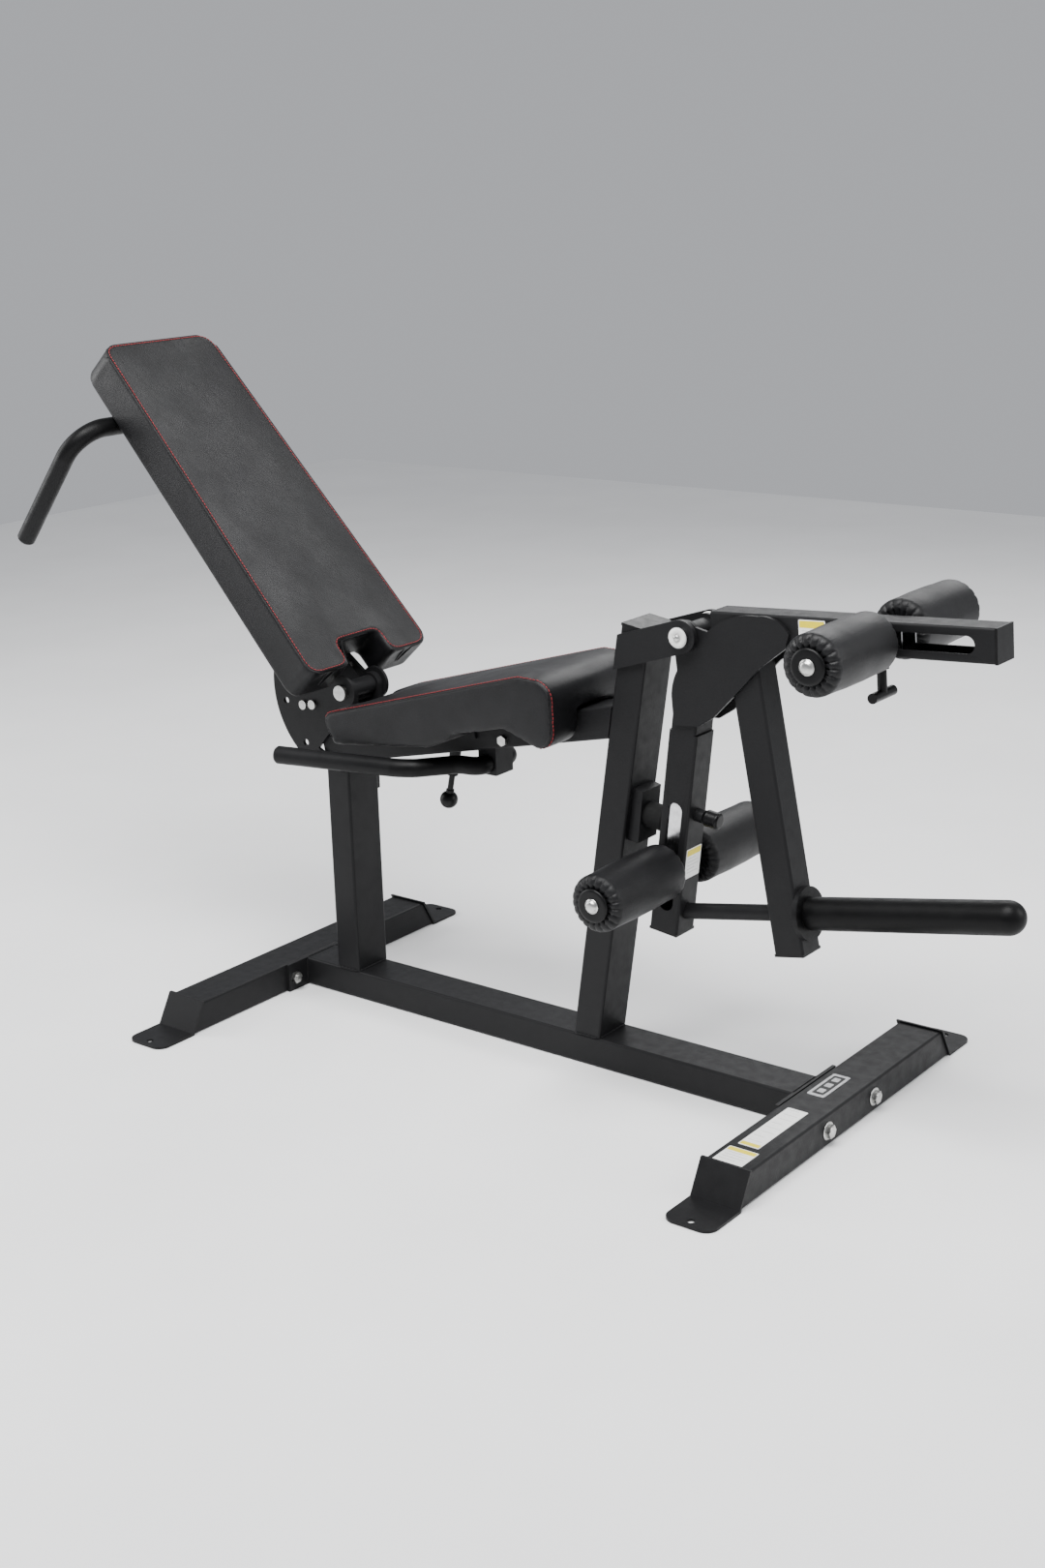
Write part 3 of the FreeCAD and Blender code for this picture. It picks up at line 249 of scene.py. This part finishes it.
class Shape:
    """Collects closed solids of several materials into one mesh."""

    def __init__(self):
        self.mesh = bmesh.new()
        self.materials = []

    def index(self, material):
        """Slot number of a material, added on first use."""
        if material not in self.materials:
            self.materials.append(material)
        return self.materials.index(material)

    def grid(self, rows, material, smooth=True, closed=True, caps=True):
        """Skin through rows of points; each row is a ring when closed."""
        slot = self.index(material)
        rings = [[self.mesh.verts.new(point) for point in row] for row in rows]
        count = len(rings[0])
        span = count if closed else count - 1
        for low, high in zip(rings, rings[1:]):
            for step in range(span):
                after = (step + 1) % count
                face = self.mesh.faces.new((low[step], low[after], high[after], high[step]))
                face.material_index = slot
                face.smooth = smooth
        if caps:
            for ring in (rings[0][::-1], rings[-1]):
                face = self.mesh.faces.new(ring)
                face.material_index = slot
        return rings

    def lathe(self, place, profile, material, segments=48):
        """Profile of (radius, height) about the place's Z axis, closed at both ends by small discs."""
        rows = []
        for radius, height in profile:
            rows.append([place @ Vector((radius * math.cos(turn), radius * math.sin(turn), height))
                         for turn in (2 * math.pi * step / segments for step in range(segments))])
        return self.grid(rows, material)

    def slab(self, place, wide, high, thick, material, corner=0.0015, bevel=0.0):
        """Thin plate with rounded corners, lying on the place's XY plane."""
        ring = []
        for turn, (x_side, y_side) in enumerate(((1, 1), (-1, 1), (-1, -1), (1, -1))):
            for step in range(5):
                angle = math.radians(90 * turn + 22.5 * step)
                ring.append((x_side * (wide / 2 - corner) + corner * math.cos(angle),
                             y_side * (high / 2 - corner) + corner * math.sin(angle)))
        rows = []
        for inset, level in ((0, 0), (0, thick - bevel), (bevel, thick)):
            rows.append([place @ Vector((x * (1 - 2 * inset / wide), y * (1 - 2 * inset / high), level))
                         for x, y in ring])
        return self.grid(rows, material, smooth=False)

    def tube(self, points, radius, material, segments=10):
        """Round rod through points in a line or gentle curve."""
        rows = []
        for index, point in enumerate(points):
            ahead = points[min(index + 1, len(points) - 1)] - points[max(index - 1, 0)]
            turn = ahead.to_track_quat("Z", "X").to_matrix()
            rows.append([point + turn @ Vector((radius * math.cos(a), radius * math.sin(a), 0))
                         for a in (2 * math.pi * step / segments for step in range(segments))])
        return self.grid(rows, material)

    def finish(self, name, body, parts_replaced=()):
        """Turns the collected solids into one named piece that rides on a body."""
        bmesh.ops.recalc_face_normals(self.mesh, faces=self.mesh.faces)
        data = bpy.data.meshes.new(name)
        self.mesh.to_mesh(data)
        self.mesh.free()
        for material in self.materials:
            data.materials.append(material)
        piece = bpy.data.objects.new(name, data)
        scene.collection.objects.link(piece)
        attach(piece, body)
        if parts_replaced:
            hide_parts(*parts_replaced)
        return piece


def facing(origin, out, up=Vector((0, 0, 1))):
    """Frame at a point whose Z axis points out and whose X axis is square to up."""
    z_axis = out.normalized()
    x_axis = up.cross(z_axis)
    if x_axis.length < 1e-6:
        x_axis = Vector((0, 1, 0))
    x_axis.normalize()
    y_axis = z_axis.cross(x_axis)
    turn = Matrix((x_axis, y_axis, z_axis)).transposed().to_4x4()
    return Matrix.Translation(origin) @ turn


def middle(node):
    """Centre of a CAD node's box."""
    low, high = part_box(node)
    return (low + high) / 2


# ---- pads --------------------------------------------------------------------------------------

def edge_distance(x, y, outline):
    """Distance from a point to a closed outline."""
    best = 1.0
    for index, (ax, ay) in enumerate(outline):
        bx, by = outline[(index + 1) % len(outline)]
        run_x = bx - ax
        run_y = by - ay
        along = ((x - ax) * run_x + (y - ay) * run_y) / (run_x * run_x + run_y * run_y)
        along = min(1.0, max(0.0, along))
        best = min(best, math.hypot(x - ax - along * run_x, y - ay - along * run_y))
    return best


def remeshed(node, voxel, square, back):
    """Even mesh of a CAD node, made where its faces lie square to the axes, then put back."""
    data = NODES[node].data.copy()
    for vertex in data.vertices:
        vertex.co = square(vertex.co)
    copy = bpy.data.objects.new("remesh_copy", data)
    scene.collection.objects.link(copy)
    remesh = copy.modifiers.new("even", "REMESH")
    remesh.mode = "VOXEL"
    remesh.voxel_size = voxel
    bpy.context.view_layer.update()
    graph = bpy.context.evaluated_depsgraph_get()
    even = bpy.data.meshes.new_from_object(copy.evaluated_get(graph))
    bpy.data.objects.remove(copy)
    for vertex in even.vertices:
        vertex.co = back(vertex.co)
    return even


def relax(mesh, pinned, rounds, amount=0.5):
    """Averages free points with their neighbours."""
    work = bmesh.new()
    work.from_mesh(mesh)
    work.verts.ensure_lookup_table()
    free = [vertex for vertex in work.verts if pinned(vertex.co) < 0.5]
    for _ in range(rounds):
        moved = [vertex.co.lerp(sum((edge.other_vert(vertex).co for edge in vertex.link_edges), Vector())
                                / len(vertex.link_edges), amount) for vertex in free]
        for vertex, place in zip(free, moved):
            vertex.co = place
    work.to_mesh(mesh)
    work.free()


def inflate(name, mesh, pinned, pressure, cap):
    """Blows a closed skin up as cloth, held where pinned, and caps how far a point may move."""
    piece = bpy.data.objects.new(name, mesh)
    scene.collection.objects.link(piece)
    group = piece.vertex_groups.new(name="held")
    start = [vertex.co.copy() for vertex in mesh.vertices]
    for vertex in mesh.vertices:
        weight = pinned(vertex.co)
        if weight > 0:
            group.add([vertex.index], weight, "REPLACE")
    cloth = piece.modifiers.new("skin", "CLOTH")
    cloth.settings.quality = 6
    cloth.settings.mass = 0.4
    cloth.settings.tension_stiffness = 40
    cloth.settings.compression_stiffness = 40
    cloth.settings.bending_stiffness = 2.0
    cloth.settings.use_pressure = True
    cloth.settings.uniform_pressure_force = pressure
    cloth.settings.effector_weights.gravity = 0
    cloth.settings.vertex_group_mass = "held"
    cloth.collision_settings.use_collision = False
    cloth.collision_settings.use_self_collision = False
    cloth.point_cache.frame_end = 20
    for number in range(1, 21):
        scene.frame_set(number)
    graph = bpy.context.evaluated_depsgraph_get()
    blown = piece.evaluated_get(graph).data
    places = [vertex.co.copy() for vertex in blown.vertices]
    piece.modifiers.remove(cloth)
    scene.frame_set(1)
    for vertex, first, last in zip(mesh.vertices, start, places):
        move = last - first
        if move.length > cap:
            move *= cap / move.length
        vertex.co = first + move
    return piece


def finish_pad(piece, body, node):
    """Smooths a pad, covers it in leather and lets it stand for its CAD node."""
    for polygon in piece.data.polygons:
        polygon.use_smooth = True
    piece.data.materials.clear()
    piece.data.materials.append(LEATHER)
    smooth = piece.modifiers.new("fine", "SUBSURF")
    smooth.levels = 1
    smooth.render_levels = 1
    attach(piece, body)
    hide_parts(node)


def skin_tree(piece):
    """Search tree of a piece's finished surface."""
    graph = bpy.context.evaluated_depsgraph_get()
    graph.update()
    return BVHTree.FromObject(piece, graph)


def evenly(points, gap):
    """Points at even spacing along a polyline, with their directions."""
    result = []
    carried = 0.0
    for start, end in zip(points, points[1:]):
        run = end - start
        length = run.length
        if length == 0:
            continue
        position = carried
        while position < length:
            result.append((start + run * (position / length), run.normalized()))
            position += gap
        carried = position - length
    return result


def corner_arc(points, closed, radius, steps=6):
    """Rounds the corners of a flat route of (u, v) points."""
    result = []
    count = len(points)
    for index, here in enumerate(points):
        if not closed and index in (0, count - 1):
            result.append(Vector(here))
            continue
        now = Vector(here)
        before = Vector(points[index - 1]) - now
        after = Vector(points[(index + 1) % count]) - now
        reach = min(radius, before.length * 0.45, after.length * 0.45)
        first = now + before.normalized() * reach
        last = now + after.normalized() * reach
        for step in range(steps + 1):
            share = step / steps
            result.append(first.lerp(now, share).lerp(now.lerp(last, share), share))
    if closed:
        result.append(result[0].copy())
    return result


STITCH_GAP = 0.0062
STITCH_LONG = 0.0044
STITCH_RADIUS = 0.00055


def sew(name, body, surface, route, inward):
    """Row of red stitches laid on a surface along a route; returns the points the stitches sit on."""
    shape = Shape()
    ridge = []
    for point, way in evenly(route, STITCH_GAP):
        push = inward(point)
        hit, normal, _, _ = surface.ray_cast(point - push * 0.06, push, 0.12)
        if hit is None:
            continue
        if normal.dot(push) > 0:
            normal = -normal
        along = (way - normal * way.dot(normal)).normalized()
        ridge.append(hit)
        centre = hit + normal * 0.0002
        ends = [centre + along * (STITCH_LONG / 2 * share) + normal * (0.00035 * (1 - abs(share)))
                for share in (-1, -0.5, 0, 0.5, 1)]
        shape.tube(ends, STITCH_RADIUS, RED, 6)
    shape.finish(name, body)
    return ridge


def welt(name, body, surface, route, inward, radius=0.0011):
    """Thin folded edge of leather that runs along a seam."""
    places = []
    for point, _ in evenly(route, 0.006):
        push = inward(point)
        hit, normal, _, _ = surface.ray_cast(point - push * 0.06, push, 0.12)
        if hit is not None:
            places.append(hit)
    shape = Shape()
    shape.tube(places, radius, LEATHER, 8)
    return shape.finish(name, body)


def pad_point(s, y, n):
    """Point from its place up the backrest, across it and out of its face."""
    return PAD_REF + PAD_WAY * s + PAD_OUT * n + Vector((0, y, 0))


def pad_coordinates(point):
    """Place up the backrest, across it and out of its face."""
    offset = point - PAD_REF
    return offset.dot(PAD_WAY), point.y, offset.dot(PAD_OUT)


BACK_OUTLINE = [(PAD_LOW, NOTCH_WIDE), (PAD_LOW, PAD_WIDE_LOW), (PAD_HIGH, PAD_WIDE_HIGH),
                (PAD_HIGH, -PAD_WIDE_HIGH), (PAD_LOW, -PAD_WIDE_LOW), (PAD_LOW, -NOTCH_WIDE),
                (NOTCH_TOP, -NOTCH_WIDE), (NOTCH_TOP, NOTCH_WIDE)]


VOXEL = 0.0055
PRESSURE = 4.0
CAD_PAD_THICK = 0.078


def build_back_pad():
    """Backrest cushion, blown up between its sewn edges, with its stitched seam."""

    def narrowing(s):
        share = (s - PAD_LOW) / (PAD_HIGH - PAD_LOW)
        return 1 + share * (PAD_WIDE_HIGH / PAD_WIDE_LOW - 1)

    def square(point):
        s, y, n = pad_coordinates(point)
        return Vector((s, y / narrowing(s), -PAD_THICK + (n + PAD_THICK) * (PAD_THICK / CAD_PAD_THICK)))

    def back(point):
        s, y, n = point
        return pad_point(s, y * narrowing(s), n)

    def held(point):
        s, y, n = pad_coordinates(point)
        if n < -0.058:
            return 1.0
        near_edge = edge_distance(s, y, BACK_OUTLINE) < 0.009
        return 1.0 if near_edge and n > -0.008 else 0.0

    mesh = remeshed("back_pad", VOXEL, square, back)
    relax(mesh, lambda point: 1.0 if pad_coordinates(point)[2] < -0.06 else 0.0, 2)
    piece = inflate("back_cushion", mesh, held, PRESSURE, 0.011)
    finish_pad(piece, "backrest", "back_pad")
    surface = skin_tree(piece)
    inset = 0.006
    route = []
    for s, y in BACK_OUTLINE:
        inside_s = s + inset if s < 0.3 else s - inset
        side = 1 if y > 0 else -1
        inside_y = y + side * inset if abs(y) < 0.06 else y - side * inset
        route.append((inside_s, inside_y))
    rounded = corner_arc(route, True, 0.026)
    path = [pad_point(s, y, 0) for s, y in rounded]
    sew("back_cushion_stitches", "backrest", surface, path, lambda point: -PAD_OUT)
    edge = corner_arc([(s + (0.002 if s < 0.3 else -0.002), y * (1 - 0.002 / abs(y))) for s, y in BACK_OUTLINE],
                      True, 0.028)
    edge_path = [pad_point(s, y, 0) for s, y in edge]
    welt("back_cushion_seam", "backrest", surface, edge_path, lambda point: -PAD_OUT)


SEAT_SLOPE = 15.7
SEAT_NARROW = 0.975


def build_seat_pad():
    """Seat cushion with a seam along the top edge of each side."""
    outline = [(-0.328, 0.487), (-0.126, 0.512), (-0.083, 0.530), (-0.079, 0.542), (-0.040, 0.549),
               (0.028, 0.566), (0.037, 0.563), (0.095, 0.543), (0.117, 0.552), (0.125, 0.573), (0.124, 0.621),
               (0.116, 0.642), (0.090, 0.652), (0.060, 0.653), (-0.334, 0.543), (-0.348, 0.528)]

    level = Matrix.Rotation(math.radians(SEAT_SLOPE), 3, "Y")
    raised = level.inverted()

    def square(point):
        return level @ Vector((point.x, point.y * SEAT_NARROW, point.z))

    def back(point):
        return raised @ point

    def under(point):
        top = 0.528 + 0.2813 * (point.x + 0.348)
        return point.z < top - 0.035 and point.x < 0.03

    def held(point):
        if under(point) and abs(point.y) < SEAT_HALF * 0.9:
            return 1.0
        if abs(point.y) < 0.058 and point.x < -0.300:
            return 1.0
        side = SEAT_HALF * SEAT_NARROW - abs(point.y)
        near = edge_distance(point.x, point.z, outline)
        return 1.0 if side < 0.008 and near < 0.008 else 0.0

    mesh = remeshed("seat_pad", VOXEL, square, back)
    relax(mesh, lambda point: 1.0 if under(point) and abs(point.y) < 0.06 else 0.0, 2)
    piece = inflate("seat_cushion", mesh, held, PRESSURE, 0.010)
    finish_pad(piece, "seat", "seat_pad")
    surface = skin_tree(piece)
    rounded = corner_arc(SEAT_SIDE, False, 0.03)

    def toward(point):
        inner = Vector((min(0.06, point.x + 0.02), point.y, 0.0))
        inner.z = 0.487 + 0.30 * (inner.x + 0.348)
        if point.x > 0.06:
            inner = Vector((0.06, point.y, 0.60))
        return (inner - point).normalized()

    for name, side in (("near", -1), ("far", 1)):
        y = side * (SEAT_HALF - 0.009)
        route = [Vector((x, y, z)) for x, z in rounded]
        sew("seat_cushion_stitches_" + name, "seat", surface, route, toward)
        route = [Vector((x, side * (SEAT_HALF - 0.005), z)) for x, z in rounded]
        welt("seat_cushion_seam_" + name, "seat", surface, route, toward)


# ---- rollers -----------------------------------------------------------------------------------

PLEATS = 20


def build_roller(node, carriage, outward):
    """Leather roller: slightly barrelled, its ends gathered in pleats round the end disc."""
    low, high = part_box(node)
    centre = (low + high) / 2
    radius = (high.z - low.z) / 2
    half = (high.y - low.y) / 2
    place = facing(Vector((centre.x, centre.y, centre.z)), Vector((0, outward, 0)))
    bore = 0.0125
    profile = []
    for end in (-1, 1):
        part = []
        for step in range(9):
            share = step / 8
            reach = bore + 0.001 + (radius - 0.013 - bore) * share
            part.append((reach, half - 0.006 * (1 - share) ** 2, 1 - share))
        for step in range(1, 9):
            turn = math.radians(90 * step / 8)
            part.append((radius - 0.012 + 0.012 * math.sin(turn), half - 0.012 + 0.012 * math.cos(turn),
                         0.35 * (1 - step / 8)))
        ring = [(r, end * z, fold) for r, z, fold in part]
        profile.append(ring)
    barrel = ((-0.5, -half * 0.6), (-0.2, -half * 0.25), (0.2, half * 0.25), (0.5, half * 0.6))
    rows_profile = profile[0] + [(radius + 0.0012 * math.cos(math.pi * share), z, 0.0)
                                 for share, z in barrel]
    rows_profile += profile[1][::-1]
    segments = PLEATS * 10
    shape = Shape()
    rows = []
    for r, z, fold in rows_profile:
        ring = []
        for step in range(segments):
            angle = 2 * math.pi * step / segments
            uneven = 0.75 + 0.25 * math.sin(angle * 3 + z * 90)
            wave = abs(math.sin(angle * PLEATS / 2 + 0.35 * math.sin(2 * angle)))
            dip = (1 - wave) ** 1.6 * uneven
            gathered = max(0.0, fold)
            end = 1 if z > 0 else -1
            ring.append(place @ Vector((r * math.cos(angle), r * math.sin(angle),
                                        z - end * 0.0042 * dip * math.sin(math.pi * min(1, gathered + 0.12))
                                        * (1 if gathered > 0 else 0))))
        rows.append(ring)
    shape.grid(rows, LEATHER, caps=False)
    piece = shape.finish(node + "_cover", node, (node,))
    solid = piece.modifiers.new("bore", "SOLIDIFY")
    solid.thickness = 0.0015
    solid.offset = -1

    cap = Shape()
    tip = facing(Vector((centre.x, centre.y + outward * (half + 0.0045), centre.z)), Vector((0, outward, 0)))
    cap.lathe(tip, [(0.002, -0.004), (0.0255, -0.004), (0.0262, -0.0022), (0.0250, 0.0003), (0.0215, 0.0008),
                    (0.0130, 0.0002), (0.002, 0.0002)], PLASTIC)
    cap.lathe(tip, [(0.001, 0.0002), (0.0115, 0.0002), (0.0118, 0.0012), (0.0105, 0.0022), (0.0096, 0.0024),
                    (0.0088, 0.0046), (0.0070, 0.0062), (0.0040, 0.0071), (0.0008, 0.0073)], ZINC, 40)
    cap.finish(node + "_end_cap", carriage)


# ---- small parts -------------------------------------------------------------------------------

def build_washers():
    """White nylon washers on the lever pivot and plated washers under the foot bolts."""
    pivot = middle("pivot_axle")
    shape = Shape()
    for side in (-1, 1):
        place = facing(Vector((pivot.x, side * 0.0366, pivot.z)), Vector((0, side, 0)))
        shape.lathe(place, [(0.0102, 0), (0.0225, 0), (0.0228, 0.0004), (0.0225, 0.0008),
                            (0.0102, 0.0008)], NYLON)
    shape.finish("pivot_washers", "lever")

    shape = Shape()
    for side in (-1, 1):
        place = facing(Vector((pivot.x, side * 0.0516, pivot.z)), Vector((0, side, 0)))
        shape.lathe(place, [(0.0008, 0), (0.0150, 0), (0.0148, 0.0014), (0.0132, 0.0022), (0.0072, 0.0022),
                            (0.0060, 0.0010), (0.0008, 0.0010)], NYLON)
        shape.lathe(place, [(0.0006, 0.0012), (0.0054, 0.0012), (0.0054, 0.0038), (0.0042, 0.0050),
                            (0.0006, 0.0052)], ZINC, 6)
    shape.finish("pivot_cap_faces", "frame")

    shape = Shape()
    for foot, side in (("front_foot", 1), ("rear_foot", -1)):
        low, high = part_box(foot)
        outer = high.x if side > 0 else low.x
        for y in (-0.070, 0.070):
            place = facing(Vector((outer, y, 0.024)), Vector((side, 0, 0)))
            shape.lathe(place, [(0.0102, 0.0001), (0.0140, 0.0001), (0.0142, 0.0008), (0.0138, 0.0014),
                                (0.0102, 0.0015)], ZINC)
            shape.lathe(place, [(0.0006, 0.0078), (0.0088, 0.0078), (0.0080, 0.0088), (0.0066, 0.0090),
                                (0.0006, 0.0091)], ZINC)
    shape.finish("foot_bolt_washers", "frame")


def weld(shape, points, radius=0.0022):
    """Rippled weld bead along a straight joint."""
    start, end = points
    count = max(6, int((end - start).length / 0.0022))
    rows = []
    way = (end - start).normalized()
    turn = way.to_track_quat("Z", "X").to_matrix()
    for step in range(count + 1):
        size = radius * (0.86 + 0.14 * math.sin(step * 1.7))
        if step in (0, count):
            size *= 0.5
        centre = start.lerp(end, step / count)
        rows.append([centre + turn @ Vector((size * math.cos(a), size * math.sin(a), 0))
                     for a in (math.pi * 2 * k / 8 for k in range(8))])
    shape.grid(rows, COAT)


def build_welds():
    """Weld beads round the foot of each post and where the beam meets its flanges."""
    shape = Shape()
    for post in ("rear_post", "front_post"):
        low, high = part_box(post)
        z = low.z + 0.0008
        back = low.x
        front = back + 0.050 + (0.0006 if post == "front_post" else 0)
        for y in (-0.0375, 0.0375):
            weld(shape, (Vector((back + 0.004, y, z)), Vector((front - 0.004, y, z))))
        for x in (back, front):
            weld(shape, (Vector((x, -0.0335, z)), Vector((x, 0.0335, z))))
    for side in (-1, 1):
        x = side * 0.4965
        for y in (-0.0375, 0.0375):
            weld(shape, (Vector((x, y, 0.004)), Vector((x, y, 0.046))))
        weld(shape, (Vector((x, -0.0335, 0.050)), Vector((x, 0.0335, 0.050))), 0.0018)
    shape.finish("frame_welds", "frame")


def label_face(shape, place, wide, high, header, lines, thick=0.0005, paper=WHITE):
    """Sticker with a coloured header band and a few plain grey rules."""
    shape.slab(place, wide, high, thick, paper, 0.0018)
    if header:
        band = place @ Matrix.Translation((0, high / 2 - header / 2 - 0.0015, thick))
        shape.slab(band, wide - 0.003, header, 0.00012, YELLOW, 0.001)
    top = high / 2 - header - 0.006
    for index in range(lines):
        level = top - index * (high - header - 0.010) / max(1, lines)
        length = (wide - 0.010) * (0.95 if index % 3 else 0.7)
        rule = place @ Matrix.Translation((-(wide - 0.010 - length) / 2, level, thick))
        shape.slab(rule, length, 0.0008, 0.0001, GREY, 0.0003)


def build_labels():
    """Plain stickers and a plain badge, with no words on them."""
    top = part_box("foot_labels")[0].z
    shape = Shape()
    up = Vector((0, 0, 1))
    large = facing(Vector((0.535, -0.153, top)), up, Vector((0, 1, 0)))
    label_face(shape, large, 0.034, 0.140, 0.0, 8)
    strip = Matrix.Translation((0, 0, 0.0005)) @ facing(Vector((0.535, -0.2165, top)), up, Vector((0, 1, 0)))
    shape.slab(strip, 0.031, 0.009, 0.00012, YELLOW, 0.001)
    small = facing(Vector((0.537, -0.2595, top)), up, Vector((0, 1, 0)))
    label_face(shape, small, 0.048, 0.049, 0.010, 4)
    badge = facing(Vector((0.530, 0.0155, top)), up, Vector((0, 1, 0)))
    shape.slab(badge, 0.030, 0.083, 0.0008, BADGE, 0.003, 0.0003)
    inner = badge @ Matrix.Translation((0, 0, 0.0008))
    shape.slab(inner, 0.020, 0.070, 0.00015, PLASTIC, 0.002)
    for offset in (-0.022, 0.0, 0.022):
        bar = inner @ Matrix.Translation((0, offset, 0.00015))
        shape.slab(bar, 0.011, 0.013, 0.00015, BADGE, 0.002)
    shape.finish("foot_stickers", "frame", ("foot_labels",))

    shape = Shape()
    tilt = math.radians(7.0)
    front = Vector((math.cos(tilt), 0, -math.sin(tilt)))
    rise = Vector((math.sin(tilt), 0, math.cos(tilt)))
    base = Vector((0.2596, 0, 0.2559))
    leg = facing(base + rise * 0.1155 + front * 0.025 + Vector((0, 0.0005, 0)), front, rise)
    label_face(shape, leg, 0.040, 0.049, 0.010, 5)
    slope = math.radians(3.2)
    way = Vector((math.cos(slope), 0, math.sin(slope)))
    above = Vector((-math.sin(slope), 0, math.cos(slope)))
    spot = Vector((0.350, 0, 0.7433)) + way * 0.1685 + Vector((0, -0.025, 0))
    arm = facing(spot, Vector((0, -1, 0)), above)
    label_face(shape, arm, 0.043, 0.042, 0.010, 4)
    shape.finish("lever_stickers", "lever", ("lever_labels",))


# ---- studio ------------------------------------------------------------------------------------

def build_floor():
    """Pale studio floor."""
    rows = []
    count = 24
    for row in range(count + 1):
        depth = -4.0 + 9.0 * row / count
        rows.append([Vector((-5.0 + 10.0 * step / count, depth, -0.0005)) for step in range(count + 1)])
    shape = bmesh.new()
    grid = [[shape.verts.new(point) for point in row] for row in rows]
    for low, high in zip(grid, grid[1:]):
        for step in range(count):
            shape.faces.new((low[step], low[step + 1], high[step + 1], high[step]))
    data = bpy.data.meshes.new("floor")
    shape.to_mesh(data)
    shape.free()
    material, tree, shader, place = new_material("pale_floor", (0.86, 0.86, 0.86), 0.75)
    tree.links.new(ramp(tree, noise(tree, place, 3.0), 0.84, 0.88), shader.inputs["Base Color"])
    data.materials.append(material)
    floor = bpy.data.objects.new("floor", data)
    scene.collection.objects.link(floor)


def area_light(name, place, target, wide, high, power):
    """Soft rectangular light aimed at a target."""
    data = bpy.data.lights.new(name, "AREA")
    data.shape = "RECTANGLE"
    data.size = wide
    data.size_y = high
    data.energy = power
    light = bpy.data.objects.new(name, data)
    light.location = place
    light.rotation_euler = (Vector(target) - Vector(place)).to_track_quat("-Z", "Y").to_euler()
    scene.collection.objects.link(light)


def build_lights():
    """Even surroundings and four soft lights."""
    world = bpy.data.worlds.new("studio")
    world.use_nodes = True
    world.node_tree.nodes["Background"].inputs["Color"].default_value = (0.93, 0.95, 1.0, 1)
    world.node_tree.nodes["Background"].inputs["Strength"].default_value = 0.50
    scene.world = world
    area_light("key", (0.4, -1.2, 3.2), (-0.1, 0, 0.5), 2.6, 1.6, 210)
    area_light("left", (-3.2, -1.2, 1.6), (-0.2, 0, 0.5), 1.6, 2.2, 70)
    area_light("right", (3.0, 1.2, 1.8), (0.2, 0, 0.5), 1.4, 2.0, 55)
    area_light("back", (-0.6, 3.0, 2.6), (0, 0, 0.6), 2.6, 1.2, 60)


CAMERA_PLACE = Vector((1.9725, -2.5490, 1.4227))
CAMERA_TURN = 38.65
CAMERA_RISE = 15.79
CAMERA_ROLL = -1.91


def build_camera():
    """Camera seen from the front near corner, turned by its three angles."""
    turn = math.radians(CAMERA_TURN)
    rise = math.radians(CAMERA_RISE)
    roll = math.radians(CAMERA_ROLL)
    back = Vector((math.sin(turn) * math.cos(rise), -math.cos(turn) * math.cos(rise), math.sin(rise)))
    right = Vector((math.cos(turn), math.sin(turn), 0))
    up = back.cross(right)
    across = right * math.cos(roll) + up * math.sin(roll)
    above = up * math.cos(roll) - right * math.sin(roll)
    data = bpy.data.cameras.new("camera")
    data.sensor_width = 36
    data.lens = 48.29
    data.shift_x = 0.0131
    data.shift_y = -0.0254
    camera = bpy.data.objects.new("camera", data)
    matrix = Matrix((across, above, back)).transposed().to_4x4()
    camera.matrix_world = Matrix.Translation(CAMERA_PLACE) @ matrix
    scene.collection.objects.link(camera)
    scene.camera = camera


build_camera()
build_lights()
build_floor()
paint_cad_nodes()
build_back_pad()
build_seat_pad()
for position in ("lower", "upper"):
    for end, outward in (("near", -1), ("far", 1)):
        build_roller("%s_roller_%s" % (position, end), position + "_carriage", outward)
build_washers()
build_welds()
build_labels()
